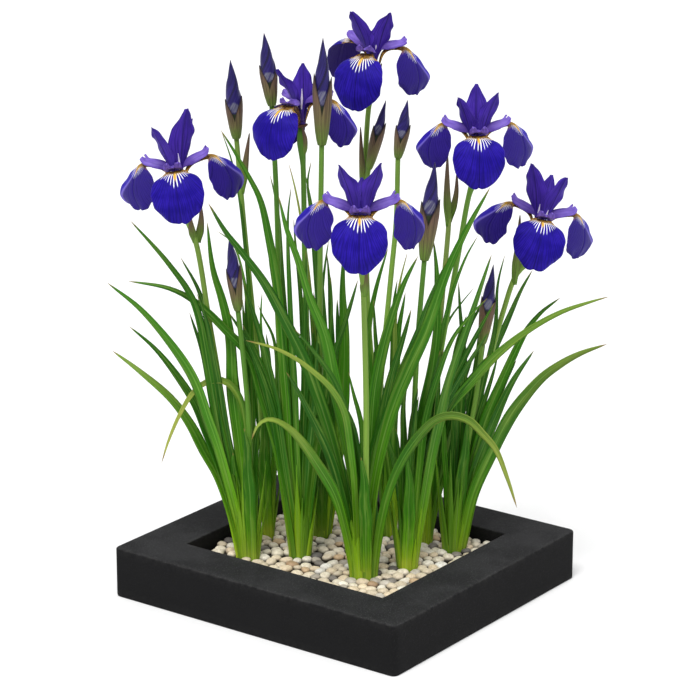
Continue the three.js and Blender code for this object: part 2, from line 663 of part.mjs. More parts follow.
function buildFlower(flower, number) {
  const frame = flowerFrame(flower);
  const toFrame = frame.matrixWorld.clone().invert();
  const front = flower.falls[0][0];
  const blades = flower.standards.map(([x, y, near, foot, face]) => (
    standardSolid(sight(x, y, flower.near + near).applyMatrix4(toFrame), foot, face)
  ));
  const falls = join([hub(front, 8.6, -4, 0), ...flower.falls.map(fallSolid)]);
  const standards = join([hub(front + 60, 6.8, GAP, 3), ...blades]);
  const styles = join([hub(front, 4, 3 + GAP, 18), ...flower.falls.map(styleSolid)]);
  const part = (solid, kind, material) => {
    const name = `flower_${number}_${kind}`;
    frame.add(meshOf(name, largestPiece(solid, name), material));
  };
  part(falls, 'falls', FALL());
  part(standards, 'standards', STANDARD());
  part(styles, 'styles', STYLE());
  return frame;
}

// The end of a flower's stem, just below the petals, along the flower's own axis
function stemTopOf(flower) {
  const frame = flowerFrame(flower);
  return [-22, -4.6].map((height) => new THREE.Vector3(0, 0, height).applyMatrix4(frame.matrixWorld));
}

// Buds

const BUD_SIDES = 6;
const BUD_SHAPE = [[0.1, 0.3], [0.28, 0.76], [0.47, 1], [0.67, 0.8], [0.88, 0.33]];

function budAxis(bud) {
  const base = sight(...bud.base, bud.near);
  const tip = sight(...bud.tip, bud.near);
  return { base, tip, ...crossDirections(tip.clone().sub(base).normalize(), 0) };
}

function budSolid(bud) {
  const { base, tip, side, face } = budAxis(bud);
  const rings = BUD_SHAPE.map(([along, share]) => (
    hexagonRing(base.clone().lerp(tip, along), side, face, bud.fat * share, BUD_SIDES)
  ));
  return skin([...rings, [tip]]);
}

// The two bracts that wrap a bud: a sleeve whose rim is low in front and behind and has a point
// on each side. Its rings go up the outside, over the rim and down the inside to the bud's foot.
function sleeveRings(bud) {
  const { base, tip, side, face } = budAxis(bud);
  const length = base.distanceTo(tip);
  const ring = (along, radius) => (
    hexagonRing(base.clone().lerp(tip, along), side, face, radius, BUD_SIDES)
  );
  const rim = (lowRadius, tipRadius) => {
    const low = ring(bud.split, lowRadius);
    const left = ring(bud.points[0], tipRadius);
    const right = ring(bud.points[1], tipRadius);
    return low.map((point, i) => (i === 0 ? right[0] : i === BUD_SIDES / 2 ? left[i] : point));
  };
  const lowRadius = bud.fat * (0.55 + 0.9 * bud.split);
  const floor = BUD_SHAPE[0][0] - GAP / length;
  return [
    ring(0.05, 0.42 * bud.fat + 1.5),
    ring(0.15, 0.68 * bud.fat + 1.5),
    rim(lowRadius + 1.5, 1.16 * bud.fat + 1.3),
    rim(lowRadius + 0.5, 1.16 * bud.fat + 0.5),
    ring(0.16, 0.68 * bud.fat + 0.5),
    ring(floor, 0.38 * bud.fat + 0.4),
  ];
}

// Whole plants

const root = new THREE.Group();
const stems = [];

function addStem(name, plant, places, rings, extras) {
  const bracts = plant.bracts.map((bract) => bractSolid(bract, places));
  const solid = join([skin(rings), ...bracts, ...extras]);
  stems.push({ clump: plant.clump, clearance: skin(ringsOf(places, 2 * GAP, rings[0].length)) });
  root.add(meshOf(name, largestPiece(solid, name), STEM()));
}

// A flower's stem swells below the petals
function addFlowerStem(name, flower, extras) {
  const places = stemPlaces(flower, stemTopOf(flower));
  const last = places.length - 1;
  places[last - 1].radius = SWELLING_RADIUS;
  places[last].radius = STEM_TOP_RADIUS;
  addStem(name, flower, places, ringsOf(places, 0, STEM_SIDES), extras);
}

function addBudStem(name, bud) {
  const { base } = budAxis(bud);
  const places = stemPlaces(bud, [base]);
  addStem(name, bud, places, [...ringsOf(places, 0, BUD_SIDES), ...sleeveRings(bud)], []);
}

function buildTray() {
  const halfLength = TRAY_LENGTH / 2 - TRAY_EDGE_ROUND;
  const halfDepth = TRAY_DEPTH / 2 - TRAY_EDGE_ROUND;
  const corner = TRAY_CORNER_RADIUS - TRAY_EDGE_ROUND;
  const outline = new THREE.Shape();
  const corners = [[1, -1, -90], [1, 1, 0], [-1, 1, 90], [-1, -1, 180]];
  for (const [x, y, startDegrees] of corners) {
    const start = THREE.MathUtils.degToRad(startDegrees);
    outline.absarc(x * (halfLength - corner), y * (halfDepth - corner), corner, start, start + Math.PI / 2);
  }
  const block = new THREE.ExtrudeGeometry(outline, {
    depth: TRAY_HEIGHT - 2 * TRAY_EDGE_ROUND,
    bevelThickness: TRAY_EDGE_ROUND,
    bevelSize: TRAY_EDGE_ROUND,
    bevelSegments: 1,
    curveSegments: 2,
  }).translate(0, 0, TRAY_EDGE_ROUND);
  const hollow = new THREE.BoxGeometry(
    TRAY_LENGTH - 2 * RIM_WIDTH,
    TRAY_DEPTH - 2 * RIM_WIDTH,
    TRAY_HEIGHT,
  ).translate(0, 0, TRAY_FLOOR + TRAY_HEIGHT / 2);
  const solid = solidFromGeometry(block).subtract(solidFromGeometry(hollow));
  root.add(meshOf('tray', solid, STONE()));
}

// A three.js geometry with its shared corners merged becomes a solid
function solidFromGeometry(geometry) {
  const position = geometry.getAttribute('position');
  const index = geometry.index ? [...geometry.index.array] : [...Array(position.count).keys()];
  const keys = new Map();
  const points = [];
  const places = index.map((i) => {
    const point = new THREE.Vector3().fromBufferAttribute(position, i);
    const key = point.toArray().map((value) => Math.round(value * 1e4)).join();
    if (!keys.has(key)) {
      keys.set(key, points.length);
      points.push(point);
    }
    return keys.get(key);
  });
  const triangles = [];
  for (let i = 0; i < places.length; i += 3) {
    const [a, b, c] = places.slice(i, i + 3);
    if (a !== b && b !== c && c !== a) triangles.push([a, b, c]);
  }
  return solidOf(points, triangles);
}

// A repeatable scatter between 0 and 1
function scatter(seed) {
  const wave = Math.sin(seed * 127.1 + 11.7) * 43758.5453;
  return wave - Math.floor(wave);
}

// The pebble bed: one lumpy slab with a socket for each clump
function buildPebbles() {
  const halfX = TRAY_LENGTH / 2 - RIM_WIDTH - GAP;
  const halfY = TRAY_DEPTH / 2 - RIM_WIDTH - GAP;
  const points = [];
  const cell = (column, row) => row * PEBBLE_COLUMNS + column;
  for (let row = 0; row < PEBBLE_ROWS; row += 1) {
    for (let column = 0; column < PEBBLE_COLUMNS; column += 1) {
      const edge = row % (PEBBLE_ROWS - 1) === 0 || column % (PEBBLE_COLUMNS - 1) === 0;
      const high = (row + column) % 2 === 0;
      const lump = edge ? 0.5 : (high ? 0.25 : 0.75) * scatter(cell(column, row)) + (high ? 0 : 0.25);
      const x = -halfX + (2 * halfX * column) / (PEBBLE_COLUMNS - 1);
      const y = -halfY + (2 * halfY * row) / (PEBBLE_ROWS - 1);
      points.push(new THREE.Vector3(x, y, PEBBLE_TOP - PEBBLE_HOLLOW * lump));
    }
  }
  const triangles = [];
  for (let row = 0; row + 1 < PEBBLE_ROWS; row += 1) {
    for (let column = 0; column + 1 < PEBBLE_COLUMNS; column += 1) {
      const a = cell(column, row);
      const b = cell(column + 1, row);
      const c = cell(column + 1, row + 1);
      const d = cell(column, row + 1);
      triangles.push([a, b, c], [a, c, d]);
    }
  }
  const columns = Array.from({ length: PEBBLE_COLUMNS }, (_, i) => i);
  const rows = Array.from({ length: PEBBLE_ROWS }, (_, i) => i);
  closeSlab(points, triangles, [
    columns.map((column) => cell(column, 0)),
    rows.map((row) => cell(PEBBLE_COLUMNS - 1, row)),
    columns.map((column) => cell(column, PEBBLE_ROWS - 1)).reverse(),
    rows.map((row) => cell(0, row)).reverse(),
  ]);
  const sockets = Object.values(CLUMPS).map((clump) => (
    crownSolid(clump, SOIL_TOP - 1, TRAY_HEIGHT, SOCKET_SPREAD)
  ));
  const bed = sockets.reduce((solid, socket) => solid.subtract(socket), solidOf(points, triangles));
  root.add(meshOf('pebbles', largestPiece(bed, 'pebbles'), PEBBLE()));
}

// Sides and a flat underside for the lumpy top; each edge is listed round the slab in turn
function closeSlab(points, triangles, edges) {
  const corners = edges.map((edge) => {
    points.push(points[edge[0]].clone().setZ(SOIL_TOP + GAP));
    return points.length - 1;
  });
  edges.forEach((edge, i) => {
    const here = corners[i];
    const next = corners[(i + 1) % edges.length];
    for (let k = 0; k + 1 < edge.length; k += 1) triangles.push([here, edge[k + 1], edge[k]]);
    triangles.push([here, next, edge[edge.length - 1]]);
  });
  triangles.push([corners[0], corners[2], corners[1]], [corners[0], corners[3], corners[2]]);
}

function buildSoil() {
  const geometry = new THREE.BoxGeometry(
    TRAY_LENGTH - 2 * RIM_WIDTH - 2 * GAP,
    TRAY_DEPTH - 2 * RIM_WIDTH - 2 * GAP,
    SOIL_TOP - TRAY_FLOOR - GAP,
  ).translate(0, 0, (SOIL_TOP + TRAY_FLOOR + GAP) / 2);
  root.add(meshOf('soil', solidFromGeometry(geometry), SOIL()));
}

function buildClumps() {
  for (const [name, clump] of Object.entries(CLUMPS)) {
    const crown = crownSolid(clump, SOIL_TOP + GAP, CROWN_TOP, 0);
    const leaves = LEAVES[name].map((leaf) => leafSolid(clump, leaf));
    let solid = join([crown, ...leaves]);
    for (const stem of stems) {
      if (stem.clump === name) solid = solid.subtract(stem.clearance);
    }
    const meshName = `leaf_clump_${name}`;
    root.add(meshOf(meshName, largestPiece(solid, meshName), LEAF()));
  }
}

function buildStemsAndBuds() {
  const { base, side, face } = budAxis(SIDE_BUD);
  const stalkFoot = sight(...SIDE_BUD.stalk, SIDE_BUD.stalkNear);
  const stalk = [stalkFoot, base].map((middle) => (
    hexagonRing(middle, side, face, STEM_TOP_RADIUS, BUD_SIDES)
  ));
  const sideSleeve = skin([...stalk, ...sleeveRings(SIDE_BUD)]);
  FLOWERS.forEach((flower, i) => {
    addFlowerStem(`flower_stem_${i + 1}`, flower, i === 2 ? [sideSleeve] : []);
  });
  BUDS.forEach((bud, i) => addBudStem(`bud_stem_${i + 1}`, bud));
  const spent = stemPlaces(SPENT_SHOOT, [sight(...SPENT_SHOOT.top, SPENT_SHOOT.near)]);
  addStem('spent_stem', SPENT_SHOOT, spent, ringsOf(spent, 0, STEM_SIDES), []);
  [...BUDS, SIDE_BUD].forEach((bud, i) => {
    root.add(meshOf(`bud_${i + 1}`, budSolid(bud), BUD()));
  });
}

function buildSprout() {
  const pairs = pairsOf(SPROUT.trace);
  const near = TOWARD.dot(sightOnLevel(...pairs[pairs.length - 1], PEBBLE_TOP + GAP));
  const curve = curveFromTrace(pairs, near, near - 3);
  root.add(meshOf('sprout', leafAlong(curve, SPROUT.width, 0, 3), LEAF()));
}

buildTray();
buildSoil();
buildPebbles();
buildStemsAndBuds();
buildClumps();
FLOWERS.forEach((flower, i) => root.add(buildFlower(flower, i + 1)));
buildSprout();

export default root;
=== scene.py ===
import math

import bmesh
import bpy
import numpy as np
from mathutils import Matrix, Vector


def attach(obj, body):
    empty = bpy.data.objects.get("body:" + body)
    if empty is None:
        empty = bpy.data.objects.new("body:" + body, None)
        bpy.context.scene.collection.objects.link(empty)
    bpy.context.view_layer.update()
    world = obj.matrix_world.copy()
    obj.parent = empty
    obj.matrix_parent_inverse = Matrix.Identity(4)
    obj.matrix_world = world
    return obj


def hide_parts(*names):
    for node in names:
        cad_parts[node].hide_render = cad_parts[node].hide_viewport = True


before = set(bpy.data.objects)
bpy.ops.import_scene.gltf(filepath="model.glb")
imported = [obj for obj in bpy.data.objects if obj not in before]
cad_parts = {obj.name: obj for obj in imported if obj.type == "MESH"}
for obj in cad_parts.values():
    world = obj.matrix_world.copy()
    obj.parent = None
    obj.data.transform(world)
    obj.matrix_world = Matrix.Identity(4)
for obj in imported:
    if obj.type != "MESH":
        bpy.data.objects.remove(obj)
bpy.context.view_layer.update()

MM = 0.001

# Tray and bed, as in the solids
TRAY_LENGTH = 394.0
TRAY_DEPTH = 360.0
TRAY_HEIGHT = 59.0
RIM_WIDTH = 59.0
TRAY_FLOOR = 12.0
TRAY_CORNER_RADIUS = 7.0
SOIL_TOP = 24.0
PEBBLE_TOP = 47.0
GAP = 0.3

# A stem is a little thicker at its foot, and a flower's swells below its joint
STEM_RADIUS = 3.0
STEM_FOOT_SHARE = 1.12
STEM_TAPER = 0.18
SWELLING_RADIUS = 5.0
SWELLING_LEVEL = -22.0
STEM_TOP_RADIUS = 3.0
STEM_TOP_LEVEL = -4.6

# The photograph's camera
VIEW_AZIMUTH = math.radians(36.334)
VIEW_ELEVATION = math.radians(17.327)
VIEW_DISTANCE = 3515.3
VIEW_FOCAL = 2935.6
VIEW_SIDE = 696
VIEW_TARGET = np.array([-118.5, 164.0, 225.0])
SENSOR_WIDTH = 36.0

# Random starts of waves lie within this many radians
FULL_WAVE = 6.28

# Millimetres for each unit of a fall's across and onward values
ACROSS_UNIT = 30.0
ONWARD_UNIT = 60.0

UP = np.array([0.0, 0.0, 1.0])
RIGHT = np.array([math.cos(VIEW_AZIMUTH), math.sin(VIEW_AZIMUTH), 0.0])
TOWARD = np.array([math.sin(VIEW_AZIMUTH), -math.cos(VIEW_AZIMUTH), 0.0])
BACK = TOWARD * math.cos(VIEW_ELEVATION) + UP * math.sin(VIEW_ELEVATION)
PICTURE_UP = np.cross(BACK, RIGHT)
EYE = VIEW_TARGET + BACK * VIEW_DISTANCE

# Layout, as in the solids: places are pixels of the photograph, and depths are millimetres in
# front of the tray's middle. A clump has its foot and half its width.
CLUMPS = {
    "left_front": {"foot": [249, 554], "half": 14},
    "left_back": {"foot": [269, 530.5], "half": 6},
    "centre_left": {"foot": [300.5, 552], "half": 14.5},
    "centre_back": {"foot": [322, 531], "half": 11},
    "front": {"foot": [362, 573], "half": 16.5},
    "right_back": {"foot": [389.5, 530], "half": 9},
    "right_front": {"foot": [407, 562.6], "half": 13.5},
    "far_right_back": {"foot": [427, 538], "half": 6},
    "right": {"foot": [452.5, 547], "half": 14},
}

# By clump, each leaf's width, how far its tip leans toward the viewer, its turn about its path in
# degrees, how far its foot stands in front of the clump's, and its path's pixels from tip to foot
LEAVES = {
    "left_front": [
        [9.5, -70, 30, 0, 112, 351, 140, 371, 170, 398, 192, 427, 205, 452, 218, 476, 229, 505, 240, 554],
        [10, 45, -25, 3, 107, 283, 140, 308, 170, 343, 195, 382, 209, 421, 221, 458, 239, 525, 245, 554],
        [9, 45, 15, 1, 130, 221, 170, 265, 193, 300, 209, 370, 221, 435, 238, 510, 247, 554],
        [7, 30, 10, -2, 161.5, 463, 168, 441, 180, 414, 195, 391, 210, 381, 226, 381.5, 239, 396, 245, 430,
         247, 490, 249, 554],
        [11, 10, 15, 1, 207, 222, 213.5, 270, 222, 300, 230, 340, 234, 400, 243, 480, 250, 554],
        [12, -15, -10, -3, 263, 419, 258, 430, 254, 450, 252, 500, 253, 554],
        [4.5, -60, 30, -4, 221, 131, 232, 162, 240, 200, 246, 260, 251, 330, 253, 420, 254, 554],
    ],
    "left_back": [
        [4.5, -30, 20, -2, 244.5, 311, 245.5, 350, 248, 390, 252, 430, 258, 470, 266, 530.5],
        [5, -70, -30, -2, 262.5, 292, 261, 320, 263, 370, 265, 440, 269, 530.5],
        [5.5, -12, 35, -2, 258, 305, 263, 316, 273, 336, 277, 380, 276, 430, 271, 530.5],
        [5, -100, 10, -3, 217, 231, 232, 243, 243, 275, 251, 330, 259, 400, 271, 530.5],
    ],
    "centre_left": [
        [9.5, 30, 30, 4, 128, 281.5, 170, 288.5, 196, 302, 229, 334, 250, 357, 261, 390, 271, 425,
         281, 465, 293, 552],
        [10, 15, -15, 4, 243, 283, 253, 312, 262, 340, 270, 380, 277, 415, 284, 465, 297, 552],
        [10, 15, 15, 3, 220.5, 130, 236, 154, 250, 178, 260.5, 200, 269, 240, 279, 300, 285, 380, 290, 460,
         299, 552],
        [6, -50, -20, 2, 270, 175, 273, 188, 278, 215, 282, 265, 287, 350, 292, 450, 300, 552],
        [8.5, 55, 30, 5, 358, 280, 346, 318, 337, 347, 328, 385, 320, 430, 311, 490, 306, 552],
        [7, 15, 15, 2, 331, 277, 331, 310, 329, 350, 322, 410, 313, 470, 303, 552],
        [6, 20, -10, 2, 291.5, 187, 288.5, 215, 288, 260, 292, 340, 297, 450, 301, 552],
    ],
    "centre_back": [
        [6.5, -20, 35, -2, 311.5, 161, 307.5, 182, 310, 210, 316, 270, 320, 340, 321, 430, 321, 531],
        [6, -70, -20, -3, 304, 168, 308, 186, 316, 235, 323, 300, 326, 400, 325, 531],
        [5, -45, 30, -2, 289, 163, 295, 188, 303, 235, 311, 300, 316, 400, 318, 531],
        [6, -95, 20, -4, 328.5, 240, 325, 268, 321, 310, 321, 400, 323, 531],
        [12, -10, -25, -2, 344, 248, 343, 290, 344, 340, 343, 400, 337, 460, 327, 531],
        [6, 30, 10, 2, 294, 219, 297, 260, 303, 330, 309, 420, 316, 531],
    ],
    "front": [
        [12, 90, 25, 3, 208.5, 203, 226, 233, 245, 257, 265, 284, 287, 324, 305, 362, 319, 400, 331, 437,
         344, 490, 356, 573],
        [12, 35, -25, 0, 278.5, 196, 286, 228, 298, 260, 310, 298, 324, 334, 334, 382, 348, 440, 356, 500,
         361, 573],
        [6.5, 140, 20, 3, 246, 341, 274, 348, 297, 359, 315, 373, 330, 388, 344, 412, 351, 450, 356, 510,
         358, 573],
        [9.5, 110, 30, 5, 252, 440, 257, 427, 265, 420, 275, 420, 290, 429, 315, 461, 334, 492, 347, 535,
         354, 573],
        [12.5, -15, 20, -1, 418, 256, 405, 282, 393, 313, 383, 347, 376, 385, 372, 430, 367, 500, 364, 573],
        [12, 60, -30, 0, 490, 187, 469, 225, 446, 275, 426, 330, 408, 370, 392, 410, 379, 455, 370, 510,
         367, 573],
        [9, 70, 20, 5, 516.8, 507.7, 507.5, 480, 495, 448, 482, 432.5, 469, 420, 452, 415.5, 436, 420,
         416, 440, 400, 464, 387, 497, 378, 540, 374, 573],
        [7, -40, 10, -3, 349, 372, 354, 395, 361, 425, 364, 460, 366, 573],
    ],
    "right_back": [
        [8, -20, -30, 1, 388, 248, 378, 280, 371, 315, 368, 350, 371, 390, 379, 450, 387, 530],
        [5, -55, 35, 0, 407.5, 252, 400, 280, 396, 310, 395, 350, 394, 420, 391, 530],
        [9.5, -70, 20, 2, 405, 292, 399, 330, 396, 370, 393, 430, 390, 530],
        [7, 15, -15, 3, 373, 300, 377, 350, 384, 430, 390, 480, 392, 530],
    ],
    "right_front": [
        [8.5, 20, 15, -2, 407.5, 378, 404, 400, 403.5, 440, 403, 500, 402, 562.6],
        [11, 10, -10, 0, 433, 240, 437, 275, 438, 320, 432, 370, 423, 420, 415, 490, 410, 562.6],
        [9.5, 35, 30, 3, 492, 254.5, 477, 297, 461, 345, 447, 388, 436, 435, 425, 495, 414, 562.6],
        [6.5, 75, -20, 4, 487, 298, 470, 316, 453, 339, 438, 374, 426, 420, 417, 490, 413, 562.6],
        [9, -15, 15, 1, 609, 297, 590, 302.5, 560, 312.5, 530, 328.5, 500, 352, 470, 384, 445, 411,
         427, 447, 416, 500, 412, 562.6],
        [6, 5, 15, -1, 478, 236, 465, 260, 447, 310, 434, 380, 424, 440, 415, 520, 411, 562.6],
        [5.5, -70, 15, -4, 383, 405, 387, 430, 393, 460, 399, 490, 403, 562.6],
    ],
    "far_right_back": [
        [9.5, -35, 25, 3, 533, 270, 520, 292, 501, 334, 482, 375, 462, 407, 450, 443, 438, 490, 428, 538],
        [4, 25, -20, 2, 474, 288, 461, 303, 449, 320, 441, 350, 437, 410, 432, 480, 426, 538],
    ],
    "right": [
        [12, 55, 20, 4, 607, 344, 580, 354, 560, 364.5, 541, 378, 515, 410, 493, 450, 474, 492, 461, 547],
        [10.5, -14, -15, 0, 560, 297.5, 541, 313, 526, 332, 511, 360, 498, 390, 481, 435, 466, 495,
         458, 547],
        [8, -30, 30, -5, 458.5, 282, 461, 320, 464, 365, 461, 420, 455, 480, 450, 547],
        [6, -24, 15, -1, 505, 255, 498, 285, 495, 325, 484, 380, 470, 445, 457, 547],
        [6, -10, -35, 1, 443, 405, 444, 440, 446, 480, 449, 547],
    ],
}

# A fall is its azimuth, turn and droop. A standard is its tip's pixel and depth, and the azimuths
# of its foot and its face. A bract is its tip, middle and foot, its width and its tip's depth.
FLOWERS = [
    {
        "clump": "left_front", "root": -7, "joint": [181, 191], "near": 35, "roll": -9, "size": 0.94,
        "falls": [[-3, 0, 0], [104, -49, 0], [-106, 58, 0]],
        "standards": [[151, 128, 14, -63, -42], [187, 109, 6, 60, 12], [192, 119, -34, 179, 180]],
        "stem": [[196, 243], [209, 320], [219, 380], [229, 455], [240, 520], [246, 554]],
        "bracts": [[[190, 211], [191, 226], [195, 242], 6.5, 4],
                   [[201, 204], [201, 222], [198, 243], 7, -3]],
    },
    {
        "clump": "centre_left", "root": -6, "joint": [301, 124], "near": 15, "roll": 0, "size": 0.88,
        "falls": [[-30, 0, 10], [88, -46, 10], [-158, 0, 22]],
        "standards": [[276, 70, 12, -94, -60], [303, 63, -4, 31, 10], [320, 78, -24, 147, 132]],
        "stem": [[303, 165], [304.5, 255], [306.5, 330], [305, 390], [303, 450], [302, 552]],
        "bracts": [[[302, 126], [305, 140], [302, 158], 6, 4]],
    },
    {
        "clump": "right_back", "root": -3, "joint": [373, 72], "near": -105, "roll": 1, "size": 0.93,
        "falls": [[-19, 0, 10], [98, -46, 9], [-142, 0, 0]],
        "standards": [[351, 12, 12, -80, -40], [390, 13, 12, 42, 25], [381, 26, -28, 161, 165]],
        "stem": [[369, 105], [365, 175], [366, 250], [369, 330], [376, 400], [384, 470], [388, 530]],
        "bracts": [[[382, 63], [378, 74], [371, 92], 6, 11], [[367, 63], [369, 76], [371, 92], 6, 24],
                   [[360.5, 127], [361.5, 155], [364.5, 198], 6.5, 3]],
    },
    {
        "clump": "right_front", "root": -6, "joint": [476, 156], "near": 28, "roll": 0, "size": 0.93,
        "falls": [[3, 0, 0], [106, -50, 0], [-102, 56, 0]],
        "standards": [[458, 98, 16, -58, -60], [476.5, 84, -26, 182, 180], [498.5, 93, 8, 63, 75]],
        "stem": [[469, 195], [459, 250], [441, 350], [432, 405], [422, 455], [414, 510], [410, 562.6]],
        "bracts": [],
    },
    {
        "clump": "right", "root": -6, "joint": [536, 238], "near": -30, "roll": 12, "size": 0.93,
        "falls": [[3, 0, 0], [106, -50, 0], [-102, 56, 0]],
        "standards": [[532, 164, 6, -58, -15], [551.5, 175, -26, 183, 180], [567, 178, 10, 64, 75]],
        "stem": [[516, 275], [503, 312], [490, 358], [480, 398], [471, 440], [462, 490], [457, 547]],
        "bracts": [[[520, 215], [518, 248], [514, 284], 8, 6]],
    },
    {
        "clump": "front", "root": 6, "joint": [361, 237], "near": 150, "roll": 0, "size": 1,
        "falls": [[-2, 0, 0], [105, -48, 0], [-105, 58, 0]],
        "standards": [[338.5, 165.5, 16, -62, -32], [381.5, 163.5, 16, 62, 32], [361.5, 178, -36, 180, 180]],
        "stem": [[363, 285], [364.5, 330], [366, 400], [366, 470], [366, 573]],
        "bracts": [[[366, 262], [365, 275], [364, 296], 8, 4]],
    },
]

# A bud's split is where its bracts part, and its points are where they end, as shares of its length
BUDS = [
    {
        "clump": "left_front", "root": 5, "near": 45, "tip": [229.5, 235], "base": [238, 312],
        "fat": 7.6, "split": 0.24, "points": [0.57, 0.63],
        "stem": [[244, 365], [249, 425], [250, 490], [252, 554]], "bracts": [],
    },
    {
        "clump": "left_back", "root": 3, "near": -35, "tip": [230.4, 60], "base": [236.5, 140],
        "fat": 9, "split": 0.25, "points": [0.52, 0.55],
        "stem": [[243.5, 220], [251.5, 300], [258, 365], [262, 430], [268, 530.5]],
        "bracts": [[[249.5, 133], [246, 160], [242, 193], 7, 4]],
    },
    {
        "clump": "centre_left", "root": -3, "near": -8, "tip": [264, 33], "base": [272, 107],
        "fat": 8.8, "split": 0.26, "points": [0.58, 0.5],
        "stem": [[276.5, 200], [279, 300], [283, 420], [290, 490], [295, 552]],
        "bracts": [],
    },
    {
        "clump": "centre_back", "root": 3, "near": 55, "tip": [323, 38], "base": [321.6, 147],
        "fat": 9.6, "split": 0.3, "points": [0.68, 0.65],
        "stem": [[320, 270], [320.5, 400], [322, 531]], "bracts": [],
    },
    {
        "clump": "front", "root": -5, "near": -25, "tip": [407.6, 100], "base": [397.5, 159],
        "fat": 7.4, "split": 0.28, "points": [0.56, 0.6],
        "stem": [[396, 222], [391, 275], [380, 390], [374, 470], [370, 573]], "bracts": [],
    },
    {
        "clump": "right_front", "root": 5, "near": 62, "tip": [435, 162], "base": [424, 262],
        "fat": 9.8, "split": 0.4, "points": [0.6, 0.64],
        "stem": [[418, 335], [413.5, 420], [410, 500], [406.5, 562.6]], "bracts": [],
    },
    {
        "clump": "right", "root": 4, "near": -10, "tip": [493.5, 264.5], "base": [482, 345],
        "fat": 7.8, "split": 0.36, "points": [0.6, 0.58],
        "stem": [[477, 390], [467, 450], [460, 500], [453, 547]], "bracts": [],
    },
]

SIDE_BUD = {
    "near": -88, "tip": [386, 100], "base": [368.5, 170],
    "fat": 6.4, "split": 0.42, "points": [0.62, 0.7],
    "stalk": [365.6, 186], "stalk_near": -96,
}

SPENT_SHOOT = {
    "clump": "far_right_back", "root": -3, "near": -25, "top": [448.8, 214],
    "stem": [[448.6, 224], [442, 300], [437, 360], [433, 420], [431, 480], [427, 538]],
    "bracts": [[[447.5, 153], [447, 195], [448.2, 226], 7, 3],
               [[457, 172], [456, 195], [449.5, 222], 6, -4]],
}

SPROUT = {"width": 2.4, "trace": [471.5, 519, 469.6, 526, 468, 536]}

# Places in the photograph, and smooth lines through them


def ray_through(x, y):
    """The direction in which a pixel of the photograph looks."""
    middle = VIEW_SIDE / 2
    return RIGHT * (x - middle) + PICTURE_UP * (middle - y) - BACK * VIEW_FOCAL


def sight(x, y, near):
    """The point behind a pixel at a depth in front of the tray's middle."""
    ray = ray_through(x, y)
    return EYE + ray * ((near - TOWARD @ EYE) / (TOWARD @ ray))


def sight_on_level(x, y, level):
    """The point behind a pixel at a height above the table."""
    ray = ray_through(x, y)
    return EYE + ray * ((level - EYE[2]) / ray[2])


for clump in CLUMPS.values():
    clump["centre"] = sight_on_level(*clump["foot"], PEBBLE_TOP)
    clump["near"] = TOWARD @ clump["centre"]


def unit(vectors):
    vectors = np.asarray(vectors, float)
    return vectors / np.maximum(np.linalg.norm(vectors, axis=-1, keepdims=True), 1e-9)


def smooth(value, low, high):
    """Rises from 0 at the low value to 1 at the high one without corners."""
    share = np.clip((np.asarray(value, float) - low) / (high - low), 0, 1)
    return share * share * (3 - 2 * share)


class Curve:
    """A smooth line through points (a centripetal spline), measured by the share of its length."""

    STEPS = 24

    def __init__(self, points):
        points = np.array(points, float)
        points = np.vstack([2 * points[0] - points[1], points, 2 * points[-1] - points[-2]])
        share = np.linspace(0, 1, self.STEPS, endpoint=False)[:, None]
        rows = []
        for earlier, first, second, later in zip(points[:-3], points[1:-2], points[2:-1], points[3:]):
            steps = first - earlier, second - first, later - second
            before, here, after = (math.sqrt(np.linalg.norm(step)) for step in steps)
            start = (steps[0] / before - (second - earlier) / (before + here) + steps[1] / here) * here
            end = (steps[1] / here - (later - first) / (here + after) + steps[2] / after) * here
            square = 3 * steps[1] - 2 * start - end
            cube = 2 * (first - second) + start + end
            rows.append(first + start * share + square * share**2 + cube * share**3)
        self.line = np.vstack([*rows, points[-2:-1]])
        self.run = np.concatenate([[0], np.cumsum(np.linalg.norm(np.diff(self.line, axis=0), axis=1))])
        self.length = self.run[-1]
        self.knots = self.run[:: self.STEPS] / self.length

    def at(self, share):
        run = np.clip(share, 0, 1) * self.length
        return np.stack([np.interp(run, self.run, column) for column in self.line.T], -1)

    def tangent(self, share, step=0.01):
        share = np.asarray(share, float)
        return unit(self.at(np.minimum(share + step, 1)) - self.at(np.maximum(share - step, 0)))


def pairs_of(numbers):
    return [(numbers[i], numbers[i + 1]) for i in range(0, len(numbers), 2)]


def shares_along(pairs):
    """How far up each pixel of a path lies: 1 at its first end and 0 at its foot."""
    steps = np.linalg.norm(np.diff(np.array(pairs, float), axis=0), axis=1)
    return 1 - np.concatenate([[0], np.cumsum(steps)]) / steps.sum()


def curve_from_trace(pairs, foot_near, tip_near):
    """A path from foot to tip behind traced pixels, with the depth changing faster near the tip."""
    shares = shares_along(pairs)
    points = [sight(x, y, foot_near + (tip_near - foot_near) * share**1.4)
              for (x, y), share in zip(pairs, shares)]
    return Curve(points[::-1])


def cross_directions(tangents, turn):
    """Side lies in the picture plane and face looks out of it; both turn about the path."""
    side = unit(np.cross(tangents, BACK))
    face = unit(np.cross(side, tangents))
    turn = np.asarray(turn, float)[..., None]
    return side * np.cos(turn) - face * np.sin(turn), face * np.cos(turn) + side * np.sin(turn)


def turn_about_up(angle):
    """A turn about the upright axis."""
    cos, sin = math.cos(angle), math.sin(angle)
    return np.array([[cos, -sin, 0], [sin, cos, 0], [0, 0, 1]])


def roll_in_picture(angle):
    """A turn about the axis that points away from the viewer."""
    cos, sin = math.cos(angle), math.sin(angle)
    return np.array([[cos, 0, sin], [0, 1, 0], [-sin, 0, cos]])


def section_points(middle, side, face, aside, out):
    """Points set off from each middle point, aside along its side and out along its face."""
    middle, side, face = np.broadcast_arrays(middle, side, face)
    return middle[:, None] + side[:, None] * aside[..., None] + face[:, None] * out[..., None]


